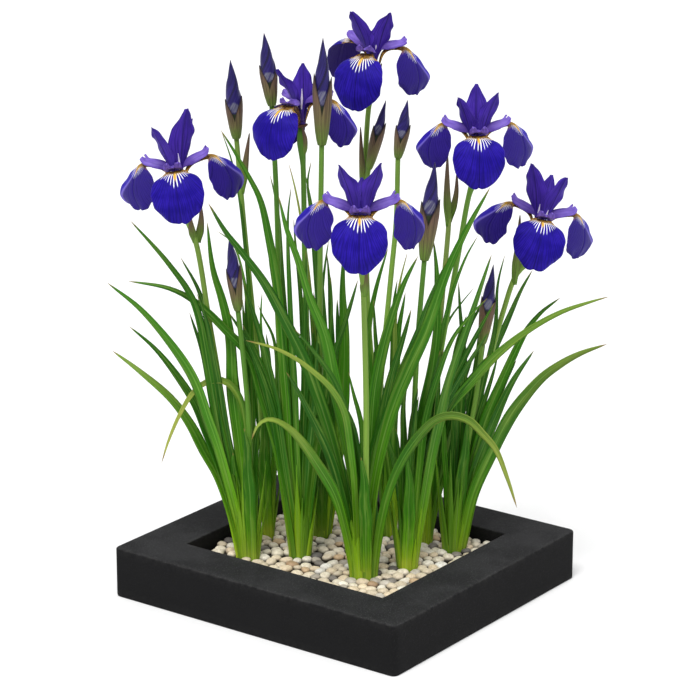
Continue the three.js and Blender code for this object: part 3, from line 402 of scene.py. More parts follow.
def hump(place, centre, width):
    """1 at its centre, falling smoothly to nothing within about two widths."""
    return np.exp(-(((place - centre) / width) ** 2))


def widths_at(share, table):
    """Widths from a table of shares and widths, in straight steps."""
    shares, widths = np.array(table).T
    return np.interp(share, shares, widths)


def smooth_widths_at(share, table):
    """The same with a smooth line through the table's points."""
    line = Curve([(*point, 0) for point in table]).line
    return np.interp(share, line[:, 0], line[:, 1])


def uv_grid(u, v):
    return np.stack(np.broadcast_arrays(u, v), -1)


def grid_shares(rows, columns):
    """Shares from 0 to 1 along a sheet, as a column, and from -1 to 1 across it, as a row."""
    return np.linspace(0, 1, rows)[:, None], np.linspace(-1, 1, columns)[None]


def phases(rng, count):
    """Random starts for waves, up to one full wave."""
    return rng.uniform(0, FULL_WAVE, count)


# Closed skins and sheets, and the objects made from them


def part_of(points, faces, uv=None, **values):
    """A mesh with its texture places and values, before it joins an object."""
    return {"points": np.asarray(points, float), "faces": faces, "uv": uv, "values": values}


def band(lower, upper):
    """Four-sided faces between two rings of point numbers."""
    return np.stack([lower, np.roll(lower, -1), np.roll(upper, -1), upper], -1).tolist()


def loft(rings, uv, **values):
    """A closed skin over rings, each an equal number of points; both ends are capped."""
    rings = np.asarray(rings, float)
    count, sides = rings.shape[:2]
    index = np.arange(count * sides).reshape(count, sides)
    faces = [face for i in range(count - 1) for face in band(index[i], index[i + 1])]
    faces += [index[0][::-1].tolist(), index[-1].tolist()]
    return part_of(rings.reshape(-1, 3), faces, np.reshape(uv, (-1, 2)), **values)


def sheet(grid, thick, uv, **values):
    """A closed thin sheet about a grid of points; value arrays follow the grid."""
    normal = unit(np.cross(np.gradient(grid, axis=1), np.gradient(grid, axis=0)))
    lift = normal * (np.asarray(thick, float)[..., None] / 2)
    rows, columns = grid.shape[:2]
    total = rows * columns
    index = np.arange(total).reshape(rows, columns)
    quads = np.stack([index[:-1, :-1], index[:-1, 1:], index[1:, 1:], index[1:, :-1]], -1).reshape(-1, 4)
    edge = np.concatenate([index[0, :-1], index[:-1, -1], index[-1, :0:-1], index[:0:-1, 0]])
    after = np.roll(edge, -1)
    rim = np.stack([after, edge, edge + total, after + total], -1)
    faces = quads.tolist() + (quads[:, ::-1] + total).tolist() + rim.tolist()
    points = np.concatenate([(grid + lift).reshape(-1, 3), (grid - lift).reshape(-1, 3)])
    both = {key: np.tile(np.broadcast_to(value, (rows, columns)).ravel(), 2)
            for key, value in values.items()}
    both["upper"] = np.repeat([0.0, 1.0], total)
    return part_of(points, faces, np.tile(np.reshape(uv, (-1, 2)), (2, 1)), **both)


def mesh_of(name, points, faces, uv):
    """A mesh whose faces all look out, with its texture places."""
    mesh = bpy.data.meshes.new(name)
    mesh.from_pydata(points.tolist(), [], faces)
    tool = bmesh.new()
    tool.from_mesh(mesh)
    bmesh.ops.recalc_face_normals(tool, faces=tool.faces)
    tool.to_mesh(mesh)
    tool.free()
    corners = np.zeros(len(mesh.loops), np.int32)
    mesh.loops.foreach_get("vertex_index", corners)
    layer = mesh.uv_layers.new(name="UVMap")
    layer.data.foreach_set("uv", uv[corners].astype(np.float32).ravel())
    return mesh


def set_values(mesh, columns, total):
    """Writes each named value or colour to the mesh's points."""
    for key, spans in columns.items():
        wide = spans[0][1].ndim > 1
        data = np.zeros((total, 4 if wide else 1), np.float32)
        for first, values in spans:
            data[first:first + len(values), :] = values if wide else np.asarray(values)[:, None]
        kind, field = ("FLOAT_COLOR", "color") if wide else ("FLOAT", "value")
        mesh.attributes.new(key, kind, "POINT").data.foreach_set(field, data.ravel())


def piece(name, parts, material, slot, *nodes, sharp=None):
    """One object from parts, with their texture places and per-point values, on the plant's body."""
    points, faces, uvs = [], [], []
    columns = {}
    start = 0
    for part in parts:
        count = len(part["points"])
        points.append(part["points"])
        faces += [[i + start for i in face] for face in part["faces"]]
        uvs.append(np.zeros((count, 2)) if part["uv"] is None else part["uv"])
        for key, value in part["values"].items():
            spread = np.broadcast_to(value, (count, *np.shape(value)[1:]))
            columns.setdefault(key, []).append((start, spread))
        start += count
    mesh = mesh_of(name, np.concatenate(points) * MM, faces, np.concatenate(uvs))
    set_values(mesh, columns, start)
    mesh.polygons.foreach_set("use_smooth", np.ones(len(mesh.polygons), bool))
    if sharp:
        mesh.set_sharp_from_angle(angle=math.radians(sharp))
    mesh.materials.append(material)
    thing = bpy.data.objects.new(name, mesh)
    bpy.context.scene.collection.objects.link(thing)
    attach(thing, "root")
    if nodes:
        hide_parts(*nodes)


# Materials put together from nodes


def srgb(red, green, blue):
    """A screen colour, each share out of 255, as linear light."""
    values = []
    for value in (red / 255, green / 255, blue / 255):
        values.append(value / 12.92 if value <= 0.04045 else ((value + 0.055) / 1.055) ** 2.4)
    return (*values, 1.0)


class Finish:
    """One material: its nodes, their links and the surface that they feed."""

    def __init__(self, name, **values):
        self.material = bpy.data.materials.new(name)
        self.material.use_nodes = True
        self.nodes = self.material.node_tree.nodes
        self.links = self.material.node_tree.links
        self.shader = self.nodes["Principled BSDF"]
        for key, value in values.items():
            self.shader.inputs[key.replace("_", " ")].default_value = value

    def put(self, kind, inputs=(), **settings):
        """A new node with its settings and with what goes into it."""
        node = self.nodes.new("ShaderNode" + kind)
        for key, value in settings.items():
            setattr(node, key, value)
        for key, value in dict(inputs).items():
            self.feed(node.inputs[key], value)
        return node

    def feed(self, socket, value):
        if isinstance(value, bpy.types.NodeSocket):
            self.links.new(value, socket)
        else:
            socket.default_value = value

    def math(self, operation, a, b=0.5, c=0.5):
        return self.put("Math", {0: a, 1: b, 2: c}, operation=operation).outputs[0]

    def mix(self, share, a, b, blend="MIX"):
        node = self.put("Mix", {0: share, 6: a, 7: b}, data_type="RGBA", blend_type=blend)
        return node.outputs[2]

    def noise(self, vector, scale, detail=2.0, roughness=0.5):
        inputs = {"Vector": vector, "Scale": scale, "Detail": detail, "Roughness": roughness}
        return self.put("TexNoise", inputs).outputs[0]

    def cells(self, vector, scale, feature="F1"):
        return self.put("TexVoronoi", {"Vector": vector, "Scale": scale}, feature=feature).outputs[0]

    def streaks(self, u, v, tint, wide, long, seed, detail=3.0):
        """Noise stretched along v, with a pattern of its own for each tint."""
        place = self.vector(self.scaled(u, wide), self.scaled(v, long), self.scaled(tint, seed))
        return self.noise(place, 1.0, detail)

    def ramp(self, value, stops):
        """Colours that follow each other as the value grows."""
        node = self.put("ValToRGB", {0: value})
        elements = node.color_ramp.elements
        for element, (place, colour) in zip(elements, (stops[0], stops[-1])):
            element.position, element.color = place, colour
        for place, colour in stops[1:-1]:
            elements.new(place).color = colour
        return node.outputs[0]

    def level(self, value, low, high, bottom=0.0, top=1.0):
        """Goes smoothly from bottom to top as the value goes from low to high."""
        inputs = {0: value, 1: low, 2: high, 3: bottom, 4: top}
        return self.put("MapRange", inputs, interpolation_type="SMOOTHSTEP").outputs[0]

    def value(self, name):
        """A named value that the mesh's points carry."""
        return self.put("Attribute", attribute_name=name).outputs["Fac"]

    def colour(self, name):
        return self.put("Attribute", attribute_name=name).outputs["Color"]

    def wash(self, body, value, low, high, share, colour, blend="MIX"):
        """Lays a share of a colour over the body as the value goes from low to high."""
        return self.mix(self.scaled(self.level(value, low, high), share), body, colour, blend)

    def uv(self):
        node = self.put("SeparateXYZ", {0: self.put("UVMap", uv_map="UVMap").outputs[0]})
        return node.outputs[0], node.outputs[1]

    def place(self):
        return self.put("TexCoord").outputs["Object"]

    def vector(self, x, y, z=0.0):
        return self.put("CombineXYZ", {0: x, 1: y, 2: z}).outputs[0]

    def scaled(self, value, factor, offset=0.0):
        """The value times a factor, moved by an offset."""
        return self.math("MULTIPLY_ADD", value, factor, offset)

    def bump(self, height, strength, distance):
        """Fine relief of the surface; the distance is in millimetres."""
        inputs = {"Height": height, "Strength": strength, "Distance": distance * MM}
        self.feed(self.shader.inputs["Normal"], self.put("Bump", inputs).outputs[0])

    def paint(self, colour, roughness=None):
        self.feed(self.shader.inputs["Base Color"], colour)
        if roughness is not None:
            self.feed(self.shader.inputs["Roughness"], roughness)
        return self.material


# The finish of each kind of surface


# How light passes through leaves and stems, and through falls and standards
GREEN_DEPTH = {"Subsurface_Weight": 0.06, "Subsurface_Radius": (0.6, 1.0, 0.2), "Subsurface_Scale": 0.002}
PETAL_DEPTH = {"Subsurface_Weight": 0.1, "Subsurface_Radius": (0.4, 0.25, 1.0), "Subsurface_Scale": 0.001}


def leaf_finish():
    """Sword leaves: yellow-green feet, long streaks, a pale midrib, some yellow and brown tips."""
    f = Finish("leaf", Roughness=0.5, Specular_IOR_Level=0.14, **GREEN_DEPTH)
    u, v = f.uv()
    tint, age = f.value("tint"), f.value("age")
    streak = f.streaks(u, v, tint, 26.0, 1.6, 31.0)
    broad = f.streaks(u, v, tint, 4.0, 5.0, 17.0, 2.0)
    body = f.ramp(v, [
        (0.0, srgb(186, 210, 90)), (0.06, srgb(156, 202, 54)), (0.2, srgb(110, 176, 44)),
        (0.45, srgb(74, 146, 38)), (1.0, srgb(66, 132, 40)),
    ])
    deep = f.mix(f.level(tint, 0.0, 1.0), srgb(116, 160, 96), srgb(255, 252, 150))
    body = f.mix(0.85, body, deep, "MULTIPLY")
    body = f.wash(body, streak, 0.35, 0.65, 0.6, srgb(26, 66, 12))
    body = f.wash(body, broad, 0.45, 0.75, 0.3, srgb(142, 172, 72))
    centre = f.math("ABSOLUTE", f.scaled(u, 1.0, -0.5))
    body = f.wash(body, centre, 0.06, 0.0, 0.3, srgb(150, 190, 96))
    fade = f.math("MULTIPLY", age, f.level(f.math("ADD", v, f.scaled(broad, 0.4)), 0.55, 1.25))
    body = f.mix(fade, body, srgb(196, 188, 92))
    tip = f.level(f.math("ADD", v, f.scaled(age, 0.03)), 0.965, 1.0)
    body = f.mix(f.scaled(tip, 0.85), body, srgb(134, 104, 62))
    ribs = f.math("SINE", f.scaled(u, 95.0))
    f.bump(f.math("ADD", f.scaled(ribs, 0.25), streak), 0.35, 0.25)
    return f.paint(body, f.scaled(streak, 0.2, 0.34))


def stem_finish():
    """Round stems: yellow-green with long darker fibres, a little duller toward the top."""
    f = Finish("stem", Roughness=0.5, Specular_IOR_Level=0.16, **GREEN_DEPTH)
    u, v = f.uv()
    tint, brown = f.value("tint"), f.value("brown")
    streak = f.streaks(u, v, tint, 20.0, 3.0, 23.0)
    body = f.ramp(v, [
        (0.0, srgb(104, 162, 40)), (0.35, srgb(104, 156, 44)), (0.6, srgb(98, 146, 48)),
        (0.8, srgb(86, 134, 46)), (1.0, srgb(86, 130, 48)),
    ])
    body = f.wash(body, streak, 0.35, 0.65, 0.55, srgb(58, 100, 26))
    body = f.wash(body, tint, 0.3, 1.0, 0.3, srgb(176, 196, 96))
    body = f.mix(brown, body, srgb(128, 112, 82))
    f.bump(streak, 0.3, 0.25)
    return f.paint(body)


def spathe_finish():
    """Papery bracts: green feet, brown-pink above, fine veins and dark edges."""
    f = Finish("spathe", Roughness=0.55, Specular_IOR_Level=0.25, Subsurface_Weight=0.06,
               Subsurface_Radius=(0.8, 0.7, 0.4), Subsurface_Scale=0.0015)
    u, v = f.uv()
    tint, edge = f.value("tint"), f.value("edge")
    streak = f.streaks(u, v, tint, 38.0, 2.2, 29.0)
    height = f.math("ADD", v, f.scaled(streak, 0.3, -0.15))
    body = f.ramp(height, [
        (0.0, srgb(98, 140, 42)), (0.3, srgb(100, 126, 48)), (0.5, srgb(108, 100, 62)),
        (0.75, srgb(104, 80, 66)), (1.0, srgb(78, 66, 50)),
    ])
    body = f.wash(body, streak, 0.45, 0.64, 0.6, srgb(50, 46, 26))
    body = f.wash(body, edge, 0.9, 1.0, 0.9, srgb(30, 18, 26))
    f.bump(streak, 0.5, 0.3)
    return f.paint(body)


def fall_veins(f, spread, reach, wander):
    """Dark lines that fan from the throat, with finer ones between them further out."""
    def lines(rate, sway, wide):
        wave = f.math("FRACT", f.math("ADD", f.scaled(spread, rate), f.scaled(wander, sway)))
        return f.level(f.math("ABSOLUTE", f.scaled(wave, 2.0, -1.0)), wide, 0.0)

    vein = f.math("MULTIPLY", lines(11.0, 2.6, 0.42), f.level(reach, 62.0, 20.0, 0.6, 1.0))
    twig = f.math("MULTIPLY", lines(22.0, 4.0, 0.5), f.level(reach, 20.0, 34.0, 0.0, 0.75))
    return f.math("MAXIMUM", vein, twig)


def fall_ground(f, across, reach, cloud, fine, vein):
    """Blue-violet, duskier below a turned fall's ridge, with veins, a dark midrib, pale edges and a painted
    highlight along the ridge.
    """
    dusk = f.value("dusk")
    body = f.mix(f.level(cloud, 0.3, 0.7), srgb(26, 10, 134), srgb(40, 22, 156))
    body = f.wash(body, fine, 0.4, 0.7, 0.5, srgb(20, 6, 108))
    below = f.math("MULTIPLY", f.level(dusk, 0.5, 1.0), f.level(reach, 8.0, 22.0))
    body = f.mix(f.scaled(below, 0.85), body, srgb(47, 30, 124))
    body = f.wash(body, dusk, 0.5, 0.0, 0.8, srgb(44, 24, 172))
    body = f.mix(f.scaled(vein, 0.62), body, srgb(12, 4, 70))
    body = f.wash(body, f.math("ABSOLUTE", across), 1.3, 0.0, 0.7, srgb(17, 7, 78))
    body = f.wash(body, f.value("edge"), 0.95, 1.0, 0.35, srgb(70, 50, 170))
    # Painted highlight: a light line along the fold of a turned fall
    return f.mix(f.scaled(f.value("ridge"), 0.7), body, srgb(132, 116, 214))


def fall_throat(f, body, across, onward, spread, reach, wander, ochre):
    """Gold by the haft, then white rays of uneven length, and one gold line down the middle."""
    signal = f.value("signal")
    turn = f.math("ABSOLUTE", spread)
    length = f.math("ADD", f.scaled(turn, -21.0, 37.0), f.scaled(wander, 14.0, -7.0))
    length = f.math("MULTIPLY", f.math("MAXIMUM", length, 6.0), signal)
    share = f.math("DIVIDE", reach, length)
    wave = f.math("FRACT", f.math("ADD", f.scaled(spread, 8.4), f.scaled(wander, 0.9)))
    ray = f.math("ABSOLUTE", f.scaled(wave, 2.0, -1.0))
    gap = f.math("ADD", f.scaled(f.math("POWER", share, 1.6), 0.45, 0.5), f.scaled(signal, -0.5, 0.4))
    white = f.level(f.math("SUBTRACT", ray, gap), -0.12, 0.1)
    ends = f.math("MULTIPLY", f.level(share, 1.02, 0.92), f.level(share, 0.34, 0.5))
    gold = f.mix(f.level(ray, 0.6, 0.25), srgb(210, 166, 56), srgb(84, 50, 40))
    body = f.mix(f.level(share, 0.66, 0.5), body, gold)
    side = f.math("ABSOLUTE", across)
    rim = f.math("ADD", onward, f.scaled(side, 0.5))
    wings = f.math("MULTIPLY", f.level(side, 22.0, 19.0), f.level(rim, 20.5, 16.5))
    body = f.mix(f.math("MULTIPLY", wings, f.level(signal, 0.8, 1.0)), body, ochre)
    body = f.mix(f.math("MULTIPLY", white, ends), body, srgb(240, 240, 246))
    middle = f.math("MULTIPLY", f.level(turn, 0.1, 0.04), f.level(share, 0.8, 0.6))
    return f.mix(middle, body, srgb(214, 168, 50))


def fall_finish():
    """Falls: blue-violet with dark branching veins, and gold and white rays from the throat."""
    f = Finish("fall", Roughness=0.55, Specular_IOR_Level=0.08, Sheen_Weight=0.02, Sheen_Roughness=0.4,
               **PETAL_DEPTH)
    across, onward = f.scaled(f.value("across"), ACROSS_UNIT), f.scaled(f.value("onward"), ONWARD_UNIT)
    tint, haft = f.value("tint"), f.value("haft")
    spread = f.math("ARCTAN2", across, f.math("ADD", f.math("MAXIMUM", onward, 0.0), 2.5))
    squares = f.math("ADD", f.math("MULTIPLY", across, across), f.math("MULTIPLY", onward, onward))
    reach = f.math("SQRT", squares)
    wander = f.streaks(spread, reach, tint, 4.0, 0.02, 13.0, 2.0)
    fine = f.streaks(spread, reach, tint, 26.0, 0.05, 1.0, 2.0)
    cloud = f.streaks(spread, reach, tint, 2.0, 0.06, 7.0, 2.0)
    vein = fall_veins(f, spread, reach, wander)
    meshes = f.cells(f.vector(f.scaled(across, 0.6), f.scaled(onward, 0.42)), 1.0, "DISTANCE_TO_EDGE")
    net = f.scaled(f.level(meshes, 0.28, 0.1), 0.9)
    ochre = f.mix(net, srgb(206, 160, 58), srgb(66, 36, 40))
    body = fall_ground(f, across, reach, cloud, fine, vein)
    body = fall_throat(f, body, across, onward, spread, reach, wander, ochre)
    body = f.mix(haft, body, ochre)
    under = f.mix(f.scaled(vein, 0.5), srgb(52, 36, 116), srgb(26, 14, 74))
    under = f.mix(haft, under, f.mix(net, srgb(170, 130, 66), srgb(64, 36, 50)))
    body = f.mix(f.level(f.value("upper"), 0.45, 0.55), under, body)
    f.bump(f.math("ADD", f.scaled(vein, -0.7), fine), 0.4, 0.35)
    return f.paint(body)


def standard_finish():
    """Standards: violet with a dark midrib and fine veins that fan from the claw."""
    f = Finish("standard", Roughness=0.55, Specular_IOR_Level=0.12, Sheen_Weight=0.05,
               Sheen_Roughness=0.4, **PETAL_DEPTH)
    u, v = f.uv()
    tint = f.value("tint")
    centre = f.math("ABSOLUTE", f.scaled(u, 2.0, -1.0))
    fine = f.streaks(u, v, tint, 20.0, 3.0, 11.0)
    cloud = f.streaks(u, v, tint, 2.0, 3.0, 19.0, 2.0)
    body = f.ramp(v, [(0.0, srgb(80, 58, 92)), (0.25, srgb(50, 25, 128)), (0.7, srgb(60, 32, 150)),
                      (1.0, srgb(44, 26, 120))])
    body = f.wash(body, cloud, 0.35, 0.7, 0.45, srgb(80, 52, 172))
    body = f.wash(body, fine, 0.45, 0.64, 0.6, srgb(34, 16, 104))
    body = f.wash(body, centre, 0.1, 0.0, 0.75, srgb(28, 12, 78))
    body = f.wash(body, f.value("edge"), 0.9, 1.0, 0.45, srgb(36, 22, 96))
    f.bump(fine, 0.4, 0.35)
    return f.paint(body)


def style_finish():
    """Style arms: lavender with a violet midline, paler at the crests, nearly white at the spikes."""
    f = Finish("style", Roughness=0.5, Specular_IOR_Level=0.15, Sheen_Weight=0.06, Sheen_Roughness=0.4,
               Subsurface_Weight=0.15, Subsurface_Radius=(0.7, 0.4, 1.0), Subsurface_Scale=0.0015)
    u, v = f.uv()
    tint = f.value("tint")
    centre = f.math("ABSOLUTE", f.scaled(u, 2.0, -1.0))
    fine = f.streaks(u, v, tint, 14.0, 3.0, 11.0)
    body = f.ramp(v, [(0.0, srgb(70, 48, 120)), (0.45, srgb(94, 70, 158)), (0.8, srgb(122, 98, 188)),
                      (1.0, srgb(114, 90, 184))])
    body = f.wash(body, fine, 0.42, 0.68, 0.5, srgb(70, 48, 142))
    ridge = f.math("MULTIPLY", f.level(centre, 0.3, 0.0), f.level(v, 0.8, 0.65))
    body = f.mix(f.scaled(ridge, 0.6), body, srgb(62, 40, 140))
    body = f.wash(body, f.value("edge"), 0.84, 1.0, 0.4, srgb(70, 48, 138))
    body = f.mix(f.value("pale"), body, srgb(232, 222, 240))
    f.bump(fine, 0.35, 0.3)
    return f.paint(body)


def bud_finish():
    """Furled petals: dark indigo, darker still along the spiral folds as painted shade, with a pale
    grey-lilac patch low in front.
    """
    f = Finish("bud", Roughness=0.5, Specular_IOR_Level=0.25, Sheen_Weight=0.15, Sheen_Roughness=0.4)
    _, v = f.uv()
    fold, pale, tint = f.value("fold"), f.value("pale"), f.value("tint")
    fine = f.streaks(fold, v, tint, 9.0, 5.0, 11.0)
    body = f.mix(f.level(v, 0.3, 1.0), srgb(32, 21, 92), srgb(25, 18, 72))
    body = f.wash(body, fine, 0.42, 0.66, 0.4, srgb(58, 46, 132))
    # Painted shade along each spiral overlap, where one petal's edge drops onto the next
    body = f.wash(body, fold, 0.7, 0.95, 0.92, srgb(10, 6, 30))
    patch = f.math("MULTIPLY", pale, f.level(fine, 0.36, 0.62, 0.2, 1.0))
    body = f.mix(f.value("low"), body, srgb(34, 46, 20))
    body = f.mix(patch, body, srgb(108, 108, 126))
    body = f.wash(body, v, 0.94, 1.0, 0.8, srgb(30, 22, 50))
    f.bump(fine, 0.4, 0.3)
    return f.paint(body)


def pebble_finish():
    """Worn pebbles: each its own tone, darkened by the painted shade that its points carry, with mottling,
    specks and a dull polish.
    """
    f = Finish("pebble", Specular_IOR_Level=0.35)
    place = f.place()
    mottle = f.noise(place, 260.0, 4.0, 0.6)
    speck = f.noise(place, 1500.0, 2.0)
    tone = f.colour("shade")
    tone = f.wash(tone, mottle, 0.35, 0.7, 0.35, srgb(150, 132, 108), "MULTIPLY")
    tone = f.wash(tone, speck, 0.62, 0.72, 0.35, srgb(96, 84, 70))
    tone = f.wash(tone, mottle, 0.6, 0.8, 0.3, srgb(244, 238, 224))
    f.bump(f.math("ADD", mottle, f.scaled(speck, 0.4)), 0.4, 0.4)
    return f.paint(tone, f.scaled(mottle, 0.3, 0.45))


def stone_finish():
    """Dark cast stone: fine grains and pits, paler wear along the edges, and a top face painted paler than
    the sides as painted light, with a dusting of pale specks.
    """
    f = Finish("stone", Specular_IOR_Level=0.12)
    place = f.place()
    grain = f.noise(place, 900.0, 4.0, 0.65)
    cloud = f.noise(place, 22.0, 4.0, 0.55)
    pits = f.level(f.cells(place, 420.0), 0.22, 0.06)
    # Painted light: the top face is painted paler than the sides; the same mask also brings out pale specks
    # there
    dust = f.value("dust")
    dull = f.mix(cloud, srgb(17, 17, 18), srgb(23, 23, 24))
    dusty = f.mix(f.level(cloud, 0.35, 0.65), srgb(32, 32, 33), srgb(42, 42, 43))
    tone = f.mix(dust, dull, dusty)
    speck = f.level(f.noise(place, 800.0, 3.0), 0.56, 0.7)
    tone = f.mix(f.math("MULTIPLY", speck, f.scaled(dust, 0.4, 0.1)), tone, srgb(88, 88, 90))
    tone = f.mix(f.scaled(pits, 0.6), tone, srgb(9, 9, 10))
    worn = f.math("MULTIPLY", f.value("worn"), f.level(f.noise(place, 160.0, 3.0), 0.35, 0.6))
    tone = f.mix(f.scaled(worn, 0.2), tone, srgb(78, 77, 76))
    height = f.math("SUBTRACT", grain, f.scaled(pits, 0.8))
    f.bump(height, 0.5, 0.5)
    return f.paint(tone, f.scaled(grain, 0.2, 0.72))


def soil_finish():
    """Damp crumbs under the pebbles."""
    f = Finish("soil", Roughness=0.95, Specular_IOR_Level=0.1)
    crumb = f.noise(f.place(), 350.0, 5.0, 0.6)
    tone = f.ramp(crumb, [(0.3, srgb(30, 22, 16)), (0.7, srgb(74, 58, 44))])
    f.bump(crumb, 0.8, 1.5)
    return f.paint(tone)


LEAF = leaf_finish()
STEM = stem_finish()
SPATHE = spathe_finish()
FALL = fall_finish()
STANDARD = standard_finish()
STYLE = style_finish()
BUD = bud_finish()
PEBBLE = pebble_finish()
STONE = stone_finish()
SOIL = soil_finish()

# Leaves and the crowns that they grow from


# How far leaves have yellowed, by clump and place in its list; the rest are green
AGED = {
    ("left_front", 0): 0.2, ("left_front", 3): 0.55, ("front", 2): 0.45, ("front", 3): 0.3,
    ("front", 6): 0.35, ("right", 0): 0.2, ("right_front", 4): 0.2, ("left_back", 0): 0.6,
    ("centre_back", 2): 0.5, ("right_back", 1): 0.45,
}
LEAST_CROWN_DEPTH = 6.8
LEAF_KEEL = 1.5
LEAF_SHARES = np.array([-1, -0.64, -0.28, 0, 0.28, 0.64, 1])
ROOT_DEPTH = 20.0
ROOT_STEPS = np.array([1.0, 0.55, 0.2])
# Level of each ring of a crown, and its share of the crown's full width
CROWN_RINGS = ((SOIL_TOP + GAP, 0.92), (34, 0.96), (44, 0.86), (48, 0.7), (52, 0.3))
SHEATH_FOOT = 34
FILLING_SPACING = 11
STEM_LEAF_WIDTH = 12.0
STEM_LEAF_SPARE = 4.2


def leaf_share(along):
    """A leaf's width widens a little to its middle, then narrows to its tip."""
    return np.where(along < 0.5, 1 + 0.5 * along, 1.25 * (np.maximum(1 - along, 0) / 0.5) ** 0.62)


def blade(curve, width, turn, tint, age, rng, root=ROOT_DEPTH):
    """A thin folded sword leaf along a curve, with a short root straight down below its foot."""
    count = int(np.clip(curve.length / 8, 16, 64))
    along = np.linspace(0, 1, count + 1) ** 0.95
    wave = phases(rng, 3)
    roll = turn + 0.1 * np.sin(along * 7 + wave[0]) * smooth(along, 0.1, 0.5)
    side, face = cross_directions(curve.tangent(along), roll)
    half = 0.5 * width * leaf_share(along) / math.cos(turn)
    half = half * (1 + 0.03 * np.sin(along * 23 + wave[1])) + 0.12
    sway = 0.5 * np.sin(along * 17 + wave[2]) * smooth(along, 0.15, 0.5)
    middle = curve.at(along) + side * sway[:, None]
    rows = [0] * len(ROOT_STEPS) + list(range(count + 1))
    middle, side, face, half, along = (values[rows] for values in (middle, side, face, half, along))
    middle[:len(ROOT_STEPS)] -= np.outer(ROOT_STEPS * root, UP)
    stout = 1 - smooth(along, 0.0, 0.22)
    keel = LEAF_KEEL * np.minimum(1, 2.5 * (1 - along))
    rings, uvs = [], []
    for sign, shares in ((1, LEAF_SHARES), (-1, LEAF_SHARES[-2:0:-1])):
        fold = -np.outer(keel, 1 - np.abs(shares) ** 1.3)
        thick = 0.16 + np.outer(0.35 + 1.1 * stout, 1 - shares**2)
        rib = 0.25 * hump(shares, 0, 0.15)
        depth = fold + sign * (thick * np.minimum(1, half / 2)[:, None] + rib * (half > 1.5)[:, None])
        rings.append(section_points(middle, side, face, np.outer(half, shares), depth))
        uvs.append(uv_grid(0.5 + 0.5 * shares[None], along[:, None]))
    return loft(np.concatenate(rings, 1), np.concatenate(uvs, 1), tint=tint, age=age)


def crown_size(clump):
    """Half a crown's width across the picture, and half its depth."""
    return 0.85 * clump["half"], max(0.65 * clump["half"], LEAST_CROWN_DEPTH)


def crown_point(clump, angle, level, scale=1.0):
    """A point on a clump's crown, at an angle round it and at a level."""
    half, depth = np.array(crown_size(clump)) * scale
    point = clump["centre"] + RIGHT * half * np.cos(angle) + TOWARD * depth * np.sin(angle)
    return np.array([point[0], point[1], level])


def crown(clump, tint):
    """The short woody base among the pebbles, ribbed by old leaf feet."""
    angles = np.linspace(0, 2 * math.pi, 36, endpoint=False)
    rings, uvs = [], []
    for level, scale in CROWN_RINGS:
        rings.append([crown_point(clump, a, level, scale) for a in angles])
        uvs.append([(0.5 + 0.5 * math.sin(4 * a), 0.02) for a in angles])
    return loft(rings, uvs, tint=tint, age=0.25)


def sheath(clump, angle, height, width, tint, age, rng):
    """A short old leaf foot that hugs the crown from outside."""
    rise = np.linspace(0, 1, 16)
    foot = crown_point(clump, angle, 0, 0.93)
    inward = unit(clump["centre"] * [1, 1, 0] - foot * [1, 1, 0])
    lean = rng.uniform(-0.03, 0.03) + 0.1 * math.cos(angle)
    middle = foot + np.outer(SHEATH_FOOT + (height - SHEATH_FOOT) * rise, UP)
    middle = middle - np.outer(1.2 * np.sin(rise * math.pi), inward)
    middle = middle + np.outer(lean * rise**1.3 * (height - SHEATH_FOOT), RIGHT)
    half = 0.5 * width * (1 - smooth(rise, 0.25, 1.05)) + 0.15
    aside = np.linspace(-1, 1, 9)
    hug = np.outer(half * 0.55, aside**2)
    grid = section_points(middle, np.cross(UP, inward), inward, np.outer(half, aside), hug)
    thick = np.outer(0.9 - 0.5 * rise, np.ones(len(aside)))
    return sheet(grid, thick, uv_grid(0.5 + 0.5 * aside[None], 0.2 * rise[:, None]), tint=tint, age=age)


def traced_leaves(name):
    """The curve, width and turn of each leaf that was traced."""
    leaves = []
    for width, lean, turn, shift, *trace in LEAVES[name]:
        near = CLUMPS[name]["near"] + shift
        leaves.append((curve_from_trace(pairs_of(trace), near, near + lean), width, turn))
    return leaves


def filling_leaves(name, rng):
    """Leaves in the thick of a clump: each grows between two of the traced ones, ends lower, and takes a
    darker tint as painted shade.
    """
    steady = [leaf for leaf in traced_leaves(name) if leaf[0].line[-1, 2] > 0.8 * leaf[0].line[:, 2].max()]
    steady.sort(key=lambda leaf: RIGHT @ leaf[0].at(0.6))
    steps = np.linspace(0, 1, 9)
    parts = []
    for (left, left_width, _), (right, right_width, _) in zip(steady, steady[1:]):
        gap = RIGHT @ (right.at(0.55) - left.at(0.55))
        for _ in range(int(np.clip(round(gap / FILLING_SPACING), 1, 3))):
            share = rng.uniform(0.2, 0.8)
            reach = steps * rng.uniform(0.62, 0.94)
            line = left.at(reach) * (1 - share) + right.at(reach) * share
            line = line + np.outer(steps**1.5, TOWARD * rng.uniform(-26, 10) + RIGHT * rng.uniform(-5, 5))
            line = line + TOWARD * rng.uniform(-3, 0)
            width = np.clip(0.9 * (left_width * (1 - share) + right_width * share), 7.5, 11.0)
            # Their tints come from the darker end of the range, as painted shade inside the clump
            parts.append(blade(Curve(line), width, rng.uniform(-0.5, 0.5), rng.uniform(0, 0.35), 0.0, rng))
    return parts


def stem_leaves(name, rng):
    """Leaves that wrap the front of each stem's foot."""
    near = CLUMPS[name]["near"]
    steps = np.linspace(0, 1, 9)
    parts = []
    for plant in (*FLOWERS, *BUDS, SPENT_SHOOT):
        if plant["clump"] != name:
            continue
        foot = near + plant["root"]
        places = [foot + (plant["near"] - foot) * share + STEM_LEAF_SPARE
                  for share in shares_along(plant["stem"])]
        line = Curve([sight(x, y, place) for (x, y), place in zip(plant["stem"], places)][::-1])
        path = line.at(steps * rng.uniform(120, 165) / line.length)
        path = path + np.outer(steps**3, RIGHT * rng.choice([-5.0, 5.0]) + TOWARD * 4)
        parts.append(blade(Curve(path), STEM_LEAF_WIDTH, 0.0, rng.uniform(0.3, 0.9), 0.0, rng))
    return parts


